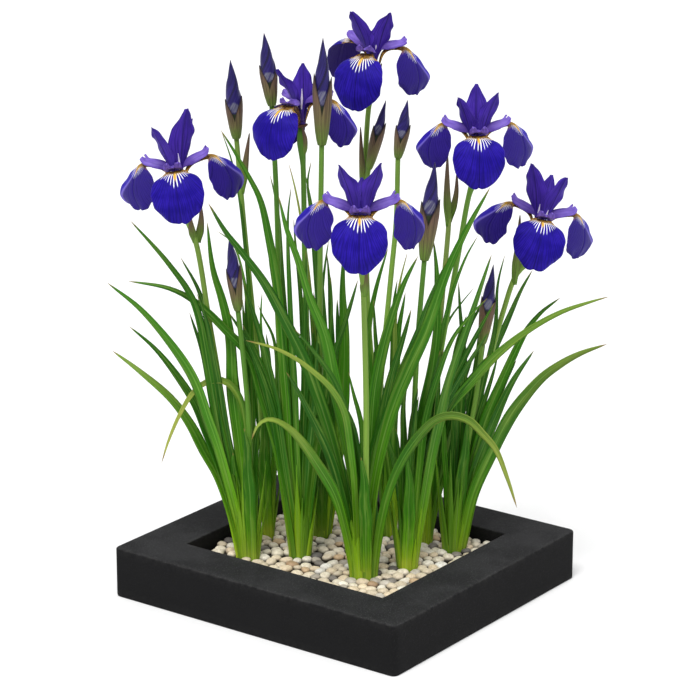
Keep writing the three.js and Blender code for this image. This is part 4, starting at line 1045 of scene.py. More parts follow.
def clump_parts(name, rng):
    """A clump: its crown, its traced leaves, those between them, and the old feet round it."""
    clump = CLUMPS[name]
    parts = [crown(clump, rng.uniform())]
    for number, (curve, width, turn) in enumerate(traced_leaves(name)):
        age = AGED.get((name, number), 0.0)
        parts.append(blade(curve, width, math.radians(turn), rng.uniform(0.2, 1), age, rng))
    parts += filling_leaves(name, rng)
    parts += stem_leaves(name, rng)
    count = 6 + int(clump["half"] / 2)
    for number in range(count):
        angle = 2 * math.pi * (number + rng.uniform(-0.25, 0.25)) / count
        height, width = rng.uniform(110, 170), rng.uniform(8, 11)
        parts.append(sheath(clump, angle, height, width, rng.uniform(), rng.uniform(0, 0.3), rng))
    return parts


# Stems and bracts

STALK_SIDES = 14
STALK_SPACING = 6.0
STALK_RIBS = 0.03
SIDE_STALK_SIDES = 12
SIDE_STALK_RADII = (3.0, 3.0, 2.6)
# How far a stalk runs into its bud, as a share of the bud's length
BUD_SEAT = 0.04
SIDE_BUD_SEAT = 0.06
BRACT_WRAP = math.radians(78)
BRACT_THICKNESS = 0.55


def tube(curve, radii, sides, spacing, ribs, **values):
    """A round stem along a curve; radii are given at the curve's own points."""
    along = np.linspace(0, 1, max(8, int(curve.length / spacing)) + 1)
    side, face = cross_directions(curve.tangent(along), 0.0)
    angle = np.linspace(0, 2 * math.pi, sides, endpoint=False)
    radius = np.interp(along, curve.knots, radii)[:, None] * (1 + ribs * np.cos(5 * angle))[None]
    rings = section_points(curve.at(along), side, face, radius * np.cos(angle), radius * np.sin(angle))
    return loft(rings, uv_grid(1 - np.abs(angle / math.pi - 1)[None], along[:, None]), **values)


def stem_curve(plant, top):
    """A stem's path from the soil through its traced pixels to its top points, and its radii."""
    clump = CLUMPS[plant["clump"]]
    near = clump["near"] + plant["root"]
    top_near = TOWARD @ top[0]
    shares = shares_along(plant["stem"])
    lower = [sight(x, y, near + (top_near - near) * s) for (x, y), s in zip(plant["stem"], shares)]
    foot = np.array([*lower[-1][:2], SOIL_TOP + 2 * GAP])
    curve = Curve([foot, *lower[::-1], *top])
    last = len(curve.knots) - 1
    return curve, [STEM_RADIUS * (STEM_FOOT_SHARE - STEM_TAPER * i / last) for i in range(last + 1)]


def near_on_stem(curve, x, y):
    """The depth of a stem at the level of a pixel."""
    level = sight(x, y, TOWARD @ curve.line[-1])[2]
    return float(np.interp(level, curve.line[:, 2], curve.line @ TOWARD))


def bract(row, stem, rng):
    """A pointed papery leaf wrapped round the front or back of its stem."""
    tip, middle, foot, width, shift = row
    near = near_on_stem(stem, *foot)
    curve = curve_from_trace([tip, middle, foot], near, near + shift)
    along = np.linspace(0, 1, 20)
    side, face = cross_directions(curve.tangent(along), 0.0)
    profile = np.minimum(1, ((1.02 - along) / 0.7) ** 0.8) * (0.62 + 0.38 * smooth(along, 0.0, 0.3))
    half = 0.6 * width * profile + 0.1
    aside = np.linspace(-1, 1, 11)
    angle = aside * BRACT_WRAP
    out = np.cos(angle)[None] * half[:, None] * 0.62 + 0.8
    facing = 1 if shift >= 0 else -1
    grid = section_points(curve.at(along), side, face, np.outer(half, np.sin(angle)), facing * out)
    edge = np.maximum(np.abs(aside)[None], along[:, None] * 0.9)
    uv = uv_grid(0.5 + 0.5 * aside[None], along[:, None])
    return sheet(grid, np.full(edge.shape, BRACT_THICKNESS), uv, tint=rng.uniform(), edge=edge)


# Buds

# Radius by share of a bud's length, for its petals and for the bracts that wrap it
BUD_SHAPE = [[0.0, 0.12], [0.1, 0.3], [0.28, 0.76], [0.47, 1.0], [0.67, 0.8], [0.88, 0.33], [1.0, 0.03]]
VALVE_SHAPE = [[0.0, 0.3], [0.06, 0.5], [0.15, 0.68], [0.25, 0.8], [0.36, 0.93], [0.47, 1.0], [0.56, 1.0],
               [0.64, 0.95], [0.75, 0.85]]
VALVE_WRAP = math.radians(112)
VALVE_THICKNESS = 0.5
VALVE_GRID = (26, 33)
INNER_VALVE_SPARE = 0.75
OUTER_VALVE_SPARE = 1.05
BUD_OVERLAPS = 3


def bud_axis(bud):
    """A bud's foot and tip, and the directions across it."""
    base, tip = sight(*bud["base"], bud["near"]), sight(*bud["tip"], bud["near"])
    side, face = cross_directions(unit(tip - base), 0.0)
    return base, tip, side, face


def bud_part(bud, rng):
    """Furled petals: a spindle with three spiral overlaps."""
    base, tip, side, face = bud_axis(bud)
    along = np.linspace(0.1, 1, 44)
    angle = np.linspace(0, 2 * math.pi, 48, endpoint=False)
    turns = angle[None] * BUD_OVERLAPS / (2 * math.pi) + along[:, None] * 3.0 + rng.uniform()
    fold = turns - np.floor(turns)
    step = 0.13 * (smooth(fold, 0.0, 0.85) - smooth(fold, 0.88, 1.0)) - 0.05
    radius = (bud["fat"] * smooth_widths_at(along, BUD_SHAPE))[:, None]
    radius = radius * (0.95 + step * smooth(along, 0.2, 0.45)[:, None])
    middle = base + np.outer(along, tip - base)
    rings = section_points(middle, side, face, radius * np.cos(angle), radius * np.sin(angle))
    split = bud["split"]
    aside = np.abs(angle - math.pi / 2) / 0.85
    shield = smooth(1 - ((along[:, None] - split - 0.17) / 0.065) ** 2 - aside[None] ** 2, 0.0, 0.3)
    low = 1 - smooth(along, split + 0.08, split + 0.12)
    uv = uv_grid(angle[None] / (2 * math.pi), along[:, None])
    return loft(rings, uv, fold=fold.ravel(), pale=shield.ravel(), low=np.repeat(low, len(angle)),
                tint=rng.uniform())


def valve_part(bud, facing, point, spare, rng):
    """A bract that wraps one side of a bud and rises to its own point."""
    base, tip, side, face = bud_axis(bud)
    split = bud["split"]
    rise, aside = grid_shares(*VALVE_GRID)
    reach = np.abs(aside)
    peak = split + (point - split) * np.cos(reach * VALVE_WRAP).clip(0, 1) ** 0.8
    rim = np.where(reach < 0.8, peak, split - 0.12 * smooth(reach, 0.8, 1.0))
    rim = rim - 0.04 * smooth(reach, 0.7, 1.0)
    along = 0.02 + (rim - 0.02) * rise
    radius = bud["fat"] * widths_at(along, VALVE_SHAPE) + spare - 0.35 * smooth(rise, 0.75, 1.0)
    angle = facing + aside * VALVE_WRAP
    grid = (base + (tip - base) * along[..., None] + side * (radius * np.cos(angle))[..., None]
            + face * (radius * np.sin(angle))[..., None])
    edge = np.maximum(rise, smooth(reach, 0.9, 1.0))
    uv = uv_grid(0.5 + 0.5 * aside, 0.2 + 0.8 * along / point)
    return sheet(grid, np.full(along.shape, VALVE_THICKNESS), uv, tint=rng.uniform(), edge=edge)


def valve_parts(bud, rng):
    """Two bracts round a bud: the second wraps over the first from the other side."""
    first, second = bud["points"]
    return [valve_part(bud, math.pi, first, INNER_VALVE_SPARE, rng),
            valve_part(bud, 0.0, second, OUTER_VALVE_SPARE, rng)]


# Flowers, in their own frame: x right, y away from the viewer, z up from the joint

# Rows along each kind of petal and columns across it
FALL_GRID = (72, 45)
STANDARD_GRID = (46, 25)
STYLE_GRID = (50, 35)

# Side views as radius and height from the joint
FALL_LINE = [[3.5, -2], [13, 24], [34, 36], [57, 27], [68.5, -1], [64.5, -23.5]]
TURNED_FALL_LINE = [[3.5, -2], [14, 26], [38, 38], [49, 28], [57, 3], [52, -18]]
FRONT_STYLE_LINE = [[1.1, 16.5], [4.5, 28], [14, 34.5], [25, 35], [32.5, 34.5], [36.5, 41]]
STYLE_LINE = [[1.1, 16.5], [4.5, 28], [14, 37], [26, 40.5], [35, 40.8], [40, 44]]
DROOP_START = 9
FALL_DROOP_SPAN = 55
STYLE_DROOP_SPAN = 75

# At each point of a fall's side view: its share of the blade's turn, and how far its sides hang
FALL_TURN = [0, 0.15, 0.6, 0.9, 1, 1]
FALL_ARCH = [0, 0, 3, 8, 9, 6]
TURNED_FALL_ARCH = [0, 3, 3, 4, 6, 5]

# Half widths by share of the length, and the haft's by distance along a fall
FALL_HALF = 29.5
OUTER_HALF = [[0, 3.5], [0.07, 8], [0.2, 14], [0.4, 21.5], [0.6, 28], [0.74, 30.5], [0.85, 28], [0.94, 19],
              [1, 2]]
INNER_HALF = [[0, 3.5], [0.07, 13], [0.2, 21], [0.4, 26], [0.6, 27], [0.76, 23], [0.88, 15], [0.96, 8],
              [1, 2]]
HAFT_DISTANCES = [0, 20, 38, 54, 70]
HAFT_HALF = [2.8, 4.2, 6.4, 14, 9]
TURNED_HAFT_HALF = [2.8, 4.2, 6.4, 9, 9]
STANDARD_HALF = [[0, 1.4], [0.22, 2.2], [0.3, 4.6], [0.38, 8.8], [0.48, 12.8], [0.58, 14.2], [0.68, 13.4],
                 [0.77, 10.8], [0.85, 7.8], [0.92, 5.2], [0.97, 3.2], [1, 0.8]]
FULL_STANDARD_HEIGHT = 80.0
STYLE_HALF = [[0, 0.8], [0.2, 2.8], [0.4, 6.6], [0.56, 9.2], [0.7, 10], [0.86, 10.2], [1, 9.6]]
STYLE_ARCH = [[0, 0], [0.25, 3], [0.45, 8.5], [0.65, 8], [0.8, 6], [1, 3]]
FRONT_STYLE_ARCH = [[0, 0], [0.25, 3], [0.45, 7], [0.65, 5], [0.8, 1.5], [1, 0]]

# How much sooner a fall's margins end than its middle, and where a turned fall's ridge runs across it
FALL_TUCK = 13.0
TURNED_FALL_TUCK = 7.0
BROW_START = -0.25
BROW_RUN = 1.15
RIDGE_WIDTH = 0.075
THROAT_BACK = 3.0
TURNED_HAFT_SPARE = 7.0
TURNED_SIGNAL = 0.75

# By flower and fall: how far out a blade hangs, the widths of its outer and inner halves, how far
# it swings round (degrees) and how much lower it hangs
FALL_FIT = {
    (1, 0): (0, 1.03, 1, 4, 0), (1, 1): (3.5, 1.06, 1.06, 0, 5), (1, 2): (2.5, 1.1, 1.35, 0, 2),
    (2, 0): (0, 1.1, 1, -4, 0), (2, 1): (0, 0.75, 1, 0, 4),
    (3, 0): (0, 1.03, 1, 0, 2), (3, 1): (0, 0.96, 1.35, 0, 6), (3, 2): (0, 0.9, 0.9, 0, -4),
    (4, 0): (0, 1.02, 1, -2, 1), (4, 1): (3.5, 0.98, 1.45, 0, 0), (4, 2): (0, 0.88, 1.1, 0, 0),
    (5, 0): (0, 1.04, 1, -5, 0.5), (5, 1): (5.5, 1.14, 1.3, 0, 2), (5, 2): (1.5, 1, 0.84, 0, 5),
}
USUAL_FIT = {0: (0, 1, 1, 0, 0), 1: (1.5, 0.98, 1.2, 0, 0), -1: (3.5, 0.98, 1.22, 0, 0)}
# By flower and standard: which way its blade faces (degrees) and how wide it is
STANDARD_FIT = {
    (1, 1): (14, 1.2), (1, 2): (190, 0.7), (2, 0): (-22, 1.1), (3, 0): (-12, 1.15), (3, 1): (12, 1.12),
    (4, 0): (-38, 1.1), (4, 2): (22, 1.05), (5, 0): (-12, 1.15), (5, 2): (25, 1.1),
}

# Radius and height of each ring of the cups where falls, standards and styles meet
FALL_CUP = ((2.6, -4.4), (5.4, -3.6), (7.4, -1.6), (7.8, 0.0))
STANDARD_CUP = ((4.0, 0.3), (6.2, 0.8), (6.4, 2.2), (4.0, 3.0))
STYLE_CUP = ((2.0, 3.3), (3.4, 4.0), (3.4, 12.0), (2.6, 18.0))
CUP_SIDES = 36
# Small pale spikes between the crested arms: the turn from the front fall (degrees) and the height
SPIKES = ((40, 46.5), (-44, 45.5), (170, 38.0))
SPIKE_RADII = (0.7, 1.6, 0.3)


def flower_frame(flower):
    """Turns the flower's own coordinates into the plant's, and back."""
    place = sight(*flower["joint"], flower["near"])
    matrix = turn_about_up(VIEW_AZIMUTH) @ roll_in_picture(math.radians(flower["roll"])) * flower["size"]

    def to_plant(points):
        return np.asarray(points) @ matrix.T + place

    def to_flower(points):
        return (np.asarray(points) - place) @ np.linalg.inv(matrix).T

    return to_plant, to_flower


def radial(azimuth, radius, height, across):
    """Points at a distance out from the flower's axis along an azimuth, and across it."""
    radius, height, across = np.broadcast_arrays(radius, height, across)
    return np.stack([radius * np.sin(azimuth) + across * np.cos(azimuth),
                     -radius * np.cos(azimuth) + across * np.sin(azimuth), height], -1)


def side_curve(line, droop, span, spare=0.0):
    """A petal's side view, lowered by its droop over a span and moved out by what is spare."""
    return Curve([(r + spare * smooth(r, 20, 45), z - droop * max(0, r - DROOP_START) / span, 0)
                  for r, z in line])


def side_view(curve, distance):
    """Radius, height and the normal's two shares at distances along a petal's side view."""
    share = np.asarray(distance) / curve.length
    tangent = curve.tangent(share)
    past = np.maximum(np.asarray(distance) - curve.length, 0)[..., None]
    place = curve.at(share) + tangent * past
    return place[..., 0], place[..., 1], -tangent[..., 1], tangent[..., 0]


def fall_half(side_run, blade_start, down, far, turned, outer_share, inner_share):
    """Half a fall's width: the haft's and the blade's run into each other without a corner."""
    if turned:
        outside = smooth_widths_at(down, OUTER_HALF) * outer_share
        inside = smooth_widths_at(down, INNER_HALF) * inner_share
        oval = np.where(far > 0, outside, inside) * (side_run > blade_start)
        haft = np.interp(side_run, HAFT_DISTANCES, TURNED_HAFT_HALF) * (1 - smooth(down, 0.6, 0.95))
    else:
        oval = FALL_HALF * outer_share * np.clip(1 - np.abs(2 * down - 1) ** 2.2, 0, 1) ** 0.47
        haft = np.interp(side_run, HAFT_DISTANCES, HAFT_HALF)
    return (oval**4 + haft**4) ** 0.25


def fall_ruffle(along, aside, phase):
    """Waves that grow toward the margins and the end of the blade."""
    waves = (1.3 * np.sin(along * 15 + phase[2] + 2.2 * np.sign(aside))
             + 0.5 * np.sin(along * 33 + phase[3]))
    ruffle = smooth(along, 0.5, 0.8) * np.abs(aside) ** 3 * waves
    return ruffle + smooth(along, 0.84, 1.0) * 0.9 * np.sin(aside * 9 + phase[0])


def fall_swell(along, aside, run, blade_start, turned):
    """A turned fall is full over its shoulder; the front one sinks along its haft and throat."""
    if turned:
        return 2.5 * hump(run, 32, 13)
    past = run - blade_start
    haft = (1 - aside**2) * (1.1 * (1 - smooth(along, 0.3, 0.46)) + 4.5 * hump(past, -3, 9))
    return -(haft + 3.2 * hump(past, 4, 12))


def fall_part(azimuth_degrees, turn_degrees, droop, fit, rng):
    """A drooping petal: a narrow haft that rises from the joint, and a blade that hangs and may turn."""
    spare, outer_share, inner_share, swing, lower = fit
    azimuth = math.radians(azimuth_degrees) + math.radians(swing)
    turn = math.radians(turn_degrees)
    turned = turn_degrees != 0
    curve = side_curve(TURNED_FALL_LINE if turned else FALL_LINE, droop + lower, FALL_DROOP_SPAN, spare)
    total = curve.length
    along, aside = grid_shares(*FALL_GRID)
    phase = phases(rng, 4)
    tuck = (TURNED_FALL_TUCK if turned else FALL_TUCK) * smooth(along, 0.5, 1.0)
    side_run = total * along - tuck
    blade_start = curve.knots[2] * total + 1.0
    down = np.clip((side_run - blade_start) / (total - blade_start), 0, 1)
    far = np.sign(turn) * -aside
    half = fall_half(side_run, blade_start, down, far, turned, outer_share, inner_share)
    waver = np.sin(along * 31 + phase[0] + 2 * np.sign(aside)) * smooth(along, 0.5, 0.7)
    across = half * (1 + 0.012 * waver) * aside
    notch = 1.8 * hump(across, 0, 2.2) + 1.1 * np.cos(aside * 7.5 + phase[1]) * np.abs(aside) ** 0.5
    run = total * along - tuck * aside**2 - notch * smooth(along, 0.86, 1.0)
    radius, height, out, up = side_view(curve, run)
    share = run / total
    arch = np.interp(share, curve.knots, TURNED_FALL_ARCH if turned else FALL_ARCH) * aside**2
    face = azimuth + turn * np.interp(share, curve.knots, FALL_TURN)
    groove = 0.8 * hump(across, 0, 1.3) * smooth(along, 0.42, 0.55) * smooth(1 - along, 0.0, 0.15)
    lift = (-arch + fall_ruffle(along, aside, phase) - groove
            + fall_swell(along, aside, run, blade_start, turned))
    grid = radial(azimuth, radius, height, 0.0) + radial(face, out * lift, up * lift, across)
    brow = BROW_START + BROW_RUN * smooth(down, -0.08, 0.78)
    past_haft = run - (TURNED_HAFT_SPARE if turned else 0.0)
    looks = {
        "across": across / ACROSS_UNIT,
        "onward": (run - (blade_start - THROAT_BACK)) / ONWARD_UNIT,
        "haft": 1 - smooth(past_haft, blade_start - 7.0, blade_start + 2.0),
        "edge": np.maximum(np.abs(aside), smooth(along, 0.94, 1.0)),
        "dusk": (0.5 - smooth(far - brow, -0.03, 0.05)) * turned + 0.5,
        # Marks the narrow line along a turned fall's fold, which the finish paints as a highlight
        "ridge": hump(far, brow, RIDGE_WIDTH) * smooth(along, 0.48, 0.56) * turned,
        "signal": TURNED_SIGNAL if turned else 1.0,
        "tint": rng.uniform(),
    }
    thick = 0.45 + 0.75 * (1 - aside**2) * (1 - 0.6 * along)
    return sheet(grid, thick, uv_grid(0.5 + across / 80, run / 130), **looks)


def standard_part(tip, foot_degrees, face_degrees, broad, rng):
    """An upright petal: a thin claw that widens to a pointed blade and turns to face its own way."""
    foot, face = math.radians(foot_degrees), math.radians(face_degrees)
    turn = math.atan2(math.sin(face - foot), math.cos(face - foot))
    rise, aside = grid_shares(*STANDARD_GRID)
    along = rise[:, 0]
    start, bend = radial(foot, 3.4, 1.5, 0.0), radial(foot, 7.0, 0.55 * tip[2], 0.0)
    centre = np.outer((1 - along) ** 2, start) + np.outer(2 * along * (1 - along), bend)
    centre = centre + np.outer(along * along, tip)
    tangent = unit(np.outer(2 * (1 - along), bend - start) + np.outer(2 * along, tip - bend))
    across = np.stack([radial(foot + turn * share, 0.0, 0.0, 1.0) for share in along])
    normal = unit(np.cross(across, tangent))
    half = widths_at(along, STANDARD_HALF) * (min(1.0, tip[2] / FULL_STANDARD_HEIGHT) * broad)
    half = np.convolve(np.pad(half, 2, mode="edge"), np.ones(5) / 5, "valid")
    waver = np.sin(rise * 26 + rng.uniform(0, 6)) * np.sign(aside) * np.abs(aside) ** 2
    half = half[:, None] * (1 + 0.035 * waver)
    phase = phases(rng, 3)
    waves = 1.5 * np.sin(rise * 17 + phase[0]) * np.sign(aside) + 0.7 * np.sin(rise * 29 + phase[1])
    ruffle = smooth(rise, 0.35, 0.65) * np.abs(aside) ** 3 * waves
    groove = 0.6 * hump(half * aside, 0, 1.2) * smooth(rise, 0.3, 0.5)
    curl = 2.2 * smooth(rise, 0.8, 1.0) * (1 - 0.5 * aside**2)
    lift = -0.2 * half * aside**2 + ruffle + groove - curl * 0.6
    grid = section_points(centre, across, normal, half * aside, lift)
    edge = np.maximum(np.abs(aside), smooth(rise, 0.92, 1.0))
    thick = (0.4 + 0.8 * (1 - aside**2)) * (1.1 - 0.6 * rise)
    return sheet(grid, thick, uv_grid(0.5 + 0.5 * aside, rise), edge=edge, tint=rng.uniform())


def style_part(azimuth_degrees, droop, front, rng):
    """A crested arm: a roof over the fall's haft that ends in two ruffled lobes with a notch between."""
    azimuth = math.radians(azimuth_degrees)
    curve = side_curve(FRONT_STYLE_LINE if front else STYLE_LINE, droop, STYLE_DROOP_SPAN)
    along, aside = grid_shares(*STYLE_GRID)
    phase = phases(rng, 4)
    crest = smooth(along, 0.7, 1.0)
    notch = (8.0 if front else 4.5) * hump(aside, 0, 0.27) * crest
    corner = (5.0 if front else 3.5) * np.abs(aside) ** 4 * crest
    teeth = 0.7 * np.cos(aside * 19 + phase[0]) * smooth(along, 0.92, 1.0)
    run = curve.length * along * 1.03 - notch - corner + teeth
    radius, height, out, up = side_view(curve, run)
    parting = np.sign(aside) * 1.5 * crest * (1 - hump(aside, 0, 0.25))
    across = widths_at(along, STYLE_HALF) * aside + parting
    roof = -widths_at(along, FRONT_STYLE_ARCH if front else STYLE_ARCH) * aside**2
    frill = smooth(along, 0.8, 1.0) * 0.9 * np.sin(aside * 11 + phase[2])
    puff = 2.2 * crest * np.sin(np.abs(aside) * math.pi) + 1.2 * smooth(along, 0.5, 1.0)
    lift = roof + frill * np.abs(aside) ** 0.5 + puff
    grid = radial(azimuth, radius + out * lift, height + up * lift, across)
    edge = np.maximum(np.abs(aside), smooth(along, 0.93, 1.0))
    thick = (0.4 + 0.9 * (1 - aside**2)) * (1.15 - 0.75 * along)
    return sheet(grid, thick, uv_grid(0.5 + 0.5 * aside, along), edge=edge, pale=0.0, tint=rng.uniform())


def spindle(points, radii, sides=10, **values):
    """A short round shoot through points."""
    curve = Curve(points)
    radii = np.interp(curve.knots, np.linspace(0, 1, len(radii)), radii)
    return tube(curve, radii, sides, 0.8, 0.0, **values)


def cup_part(azimuth_degrees, levels, **values):
    """A small three-lobed cup where petals meet."""
    angle = np.linspace(0, 2 * math.pi, CUP_SIDES, endpoint=False)
    rings, uvs = [], []
    for radius, level in levels:
        wide = radius * (1 + 0.12 * np.cos(3 * (angle - math.radians(azimuth_degrees))))
        heights = np.full(CUP_SIDES, float(level))
        rings.append(np.stack([wide * np.sin(angle), -wide * np.cos(angle), heights], -1))
        uvs.append(np.stack([0.5 + 0.5 * np.cos(angle), np.full(CUP_SIDES, 0.1)], -1))
    return loft(rings, uvs, **values)


def spike_part(azimuth_degrees, height):
    """A small pale spike that stands between the crested arms."""
    azimuth = math.radians(azimuth_degrees)
    points = [radial(azimuth, r, z, 0.0) for r, z in ((3.0, 16.0), (7.0, 33.0), (8.5, height))]
    return spindle(points, SPIKE_RADII, pale=0.9, edge=0.0, tint=0.5)


def build_flower(number, flower):
    """A flower's three objects: its falls, its standards, and its crested arms with the spikes."""
    rng = np.random.default_rng(SEEDS["flower"] + number)
    to_plant, to_flower = flower_frame(flower)
    front = flower["falls"][0][0]
    calm = {"across": 0.5, "onward": 0.0, "haft": 1.0, "edge": 0.0, "upper": 0.0, "dusk": 0.5, "ridge": 0.0,
            "signal": 1.0, "tint": 0.5}
    falls = [cup_part(front, FALL_CUP, **calm)]
    for place, (azimuth, turn, droop) in enumerate(flower["falls"]):
        fit = FALL_FIT.get((number, place), USUAL_FIT[int(np.sign(turn))])
        falls.append(fall_part(azimuth, turn, droop, fit, rng))
    plain = {"edge": 0.0, "tint": 0.4}
    standards = [cup_part(front + 60, STANDARD_CUP, **plain)]
    for place, (x, y, near, foot, face) in enumerate(flower["standards"]):
        tip = to_flower(sight(x, y, flower["near"] + near))
        face, broad = STANDARD_FIT.get((number, place), (face, 1.0))
        standards.append(standard_part(tip, foot, face, broad, rng))
    styles = [cup_part(front, STYLE_CUP, pale=0.0, **plain)]
    for place, (azimuth, _, droop) in enumerate(flower["falls"]):
        styles.append(style_part(azimuth, droop, place == 0, rng))
    styles += [spike_part(front + turn, height) for turn, height in SPIKES]
    for slot, suffix, parts, finish in (("fall", "petals", falls, FALL),
                                        ("standard", "petals", standards, STANDARD),
                                        ("style", "crests", styles, STYLE)):
        node = f"flower_{number}_{slot}s"
        moved = [{**part, "points": to_plant(part["points"])} for part in parts]
        piece(f"{node}_{suffix}", moved, finish, slot, node)


# Tray and pebble bed


def rounded_outline(half_x, half_y, radius, spacing=7.0, steps=6):
    """Points round a rectangle with round corners, counter-clockwise, evenly set along its sides."""
    points = []
    for x, y, start in ((1, -1, -90), (1, 1, 0), (-1, 1, 90), (-1, -1, 180)):
        centre = np.array([x * (half_x - radius), y * (half_y - radius)])
        angle = np.radians(start + np.linspace(0, 90, steps))
        points.append(centre + radius * np.stack([np.cos(angle), np.sin(angle)], -1))
    ring = []
    for here, after in zip(points, points[1:] + points[:1]):
        ring.append(here)
        count = int(np.linalg.norm(after[0] - here[-1]) / spacing)
        ring.append(here[-1] + np.outer(np.arange(1, count) / count, after[0] - here[-1]))
    return np.concatenate(ring)


# How far in from the side, the level or the drop from the top, and the wear of each edge's rings
FOOT_EDGE = ((3.0, 0.0, 0.2), (1.0, 0.3, 0.6), (0.3, 1.0, 0.8), (0.0, 2.2, 0.3))
TOP_EDGE = ((0.0, 2.4, 0.3), (0.25, 1.1, 0.9), (0.9, 0.35, 1.0), (2.0, 0.0, 0.5))
OPENING_EDGE = ((1.2, 0.0, 0.5), (0.5, 0.2, 0.9), (0.15, 0.8, 0.8), (0.0, 1.8, 0.3))
SIDE_LEVELS = (12.0, 24.0, 36.0, 48.0)
OPENING_LEVELS = (46.0, 34.0, 22.0, TRAY_FLOOR)
CHIP_WAVES = (23, 41, 67, 97, 133, 171)
CHIP_DEPTH = 0.07


def tray_part(rng):
    """The stone tray: rounded outside corners, worn edges, a square opening."""
    half_x, half_y = TRAY_LENGTH / 2, TRAY_DEPTH / 2
    outer = rounded_outline(half_x, half_y, TRAY_CORNER_RADIUS)
    total = len(outer)
    inner_x, inner_y = half_x - RIM_WIDTH, half_y - RIM_WIDTH
    reach = np.maximum(np.abs(outer[:, 0]) / half_x, np.abs(outer[:, 1]) / half_y)[:, None]
    square = outer / reach * [inner_x / half_x, inner_y / half_y]
    direction = unit(outer)
    wave = phases(rng, len(CHIP_WAVES))
    turn = np.arctan2(outer[:, 1], outer[:, 0])
    chip = sum(np.sin(turn * rate + start) for rate, start in zip(CHIP_WAVES, wave)) / len(CHIP_WAVES)
    rings, worn, dust, uvs = [], [], [], []

    def ring(outline, level, wear, rubbed=0.0):
        rings.append(np.column_stack([outline, level - rubbed * np.ones(total)]))
        worn.append(np.full(total, wear))
        # Marks the top face, which the finish paints paler than the sides as painted light
        dust.append(np.full(total, smooth(level, TRAY_HEIGHT - 1.2, TRAY_HEIGHT - 0.2)))
        uvs.append(np.column_stack([np.linspace(0, 1, total), np.full(total, level / TRAY_HEIGHT)]))

    def inset(depth):
        return outer * [(half_x - depth) / half_x, (half_y - depth) / half_y]

    def opening(depth):
        return square * [(inner_x + depth) / inner_x, (inner_y + depth) / inner_y]

    for depth, level, wear in FOOT_EDGE:
        ring(inset(depth), level, wear)
    for level in SIDE_LEVELS:
        ring(inset(0.0), level, 0.0)
    for depth, drop, wear in TOP_EDGE:
        rubbed = CHIP_DEPTH * np.maximum(chip, 0) * wear
        ring(inset(depth) - direction * rubbed[:, None], TRAY_HEIGHT - drop, wear, rubbed)
    for share in (0.1, 0.3, 0.5, 0.7, 0.9):
        ring(inset(2.0) * (1 - share) + opening(1.2) * share, TRAY_HEIGHT, 0.0)
    for depth, drop, wear in OPENING_EDGE:
        ring(opening(depth), TRAY_HEIGHT - drop, wear)
    for level in OPENING_LEVELS:
        ring(opening(0.0), level, 0.0)
    for depth in (-8.0, -60.0):
        ring(opening(depth), TRAY_FLOOR, 0.0)
    return loft(rings, uvs, worn=np.concatenate(worn), dust=np.concatenate(dust))


# Pebble colours and how common each is
PALETTE = [
    ((232, 222, 200), 6), ((224, 210, 184), 5), ((238, 231, 214), 5), ((212, 198, 172), 3),
    ((226, 208, 178), 3), ((196, 189, 176), 1.5), ((176, 168, 154), 0.8), ((206, 178, 142), 0.8),
    ((180, 150, 118), 0.3), ((206, 160, 118), 0.2), ((134, 128, 120), 0.7), ((104, 100, 96), 0.5),
    ((242, 239, 230), 1.5),
]
# Each layer's number of pebbles, their least and greatest radius, their tops' level, how finely
# they are made, and how bright they are painted: the lower layer is dimmed as painted shade
LOWER_LAYER = {"count": 330, "small": 5.4, "large": 7.8, "level": 38.5,
               "sides": 8, "bands": 6, "light": 0.35}
UPPER_LAYER = {"count": 380, "small": 5.4, "large": 8.2, "level": 45.8,
               "sides": 16, "bands": 10, "light": 1.0}
PACKING_ROUNDS = 110
WALL_GAP = 0.6
FINES_TOP = 33.5
# The fines' colour: damp soil, darkened further as painted shade for the gaps between pebbles
FINES_AND_GAP_SHADE_COLOUR = srgb(34, 28, 22)


def scatter_bed(count, small, large, level, rng):
    """Places for pebbles: they push each other, the walls and the crowns until they fit."""
    half_x, half_y = TRAY_LENGTH / 2 - RIM_WIDTH - WALL_GAP, TRAY_DEPTH / 2 - RIM_WIDTH - WALL_GAP
    place = rng.uniform(-1, 1, (count, 2)) * [half_x, half_y]
    radius = rng.uniform(small, large, count)
    limit = np.stack([half_x - 0.92 * radius, half_y - 0.92 * radius], -1)
    for _ in range(PACKING_ROUNDS):
        gap = place[:, None] - place[None]
        distance = np.linalg.norm(gap, axis=-1) + 1e-6
        push = np.maximum(radius[:, None] + radius[None] - distance, 0)
        np.fill_diagonal(push, 0)
        place = place + 0.35 * (gap / distance[..., None] * push[..., None]).sum(1)
        for clump in CLUMPS.values():
            centre, (half, depth) = clump["centre"][:2], crown_size(clump)
            x, y = (place - centre) @ RIGHT[:2], (place - centre) @ TOWARD[:2]
            inside = np.hypot(x / (half + 0.8 * radius), y / (depth + 0.8 * radius))
            out = np.clip(1 / np.maximum(inside, 1e-3), 1, 3)
            place = centre + (x * out)[:, None] * RIGHT[:2] + (y * out)[:, None] * TOWARD[:2]
        place = np.clip(place, -limit, limit)
    heap = 1.6 * np.sin(place[:, 0] / 31 + 1) * np.cos(place[:, 1] / 27)
    return place, radius, level + heap + rng.uniform(-1.6, 1.2, count)


def ball(sides, bands):
    """The points and faces of a ball of radius 1."""
    angle = np.linspace(0, 2 * math.pi, sides, endpoint=False)
    tilt = np.linspace(0, math.pi, bands + 1)[1:-1]
    body = np.stack([np.outer(np.sin(tilt), np.cos(angle)), np.outer(np.sin(tilt), np.sin(angle)),
                     np.outer(np.cos(tilt), np.ones(sides))], -1).reshape(-1, 3)
    points = np.vstack([[0, 0, 1], body, [0, 0, -1]])
    index = 1 + np.arange(sides * (bands - 1)).reshape(bands - 1, sides)
    faces = [[0, a, b] for a, b in zip(index[0], np.roll(index[0], -1))]
    for i in range(bands - 2):
        faces += band(index[i + 1], index[i])
    last = len(points) - 1
    faces += [[last, b, a] for a, b in zip(index[-1], np.roll(index[-1], -1))]
    return points, [[int(i) for i in face] for face in faces]


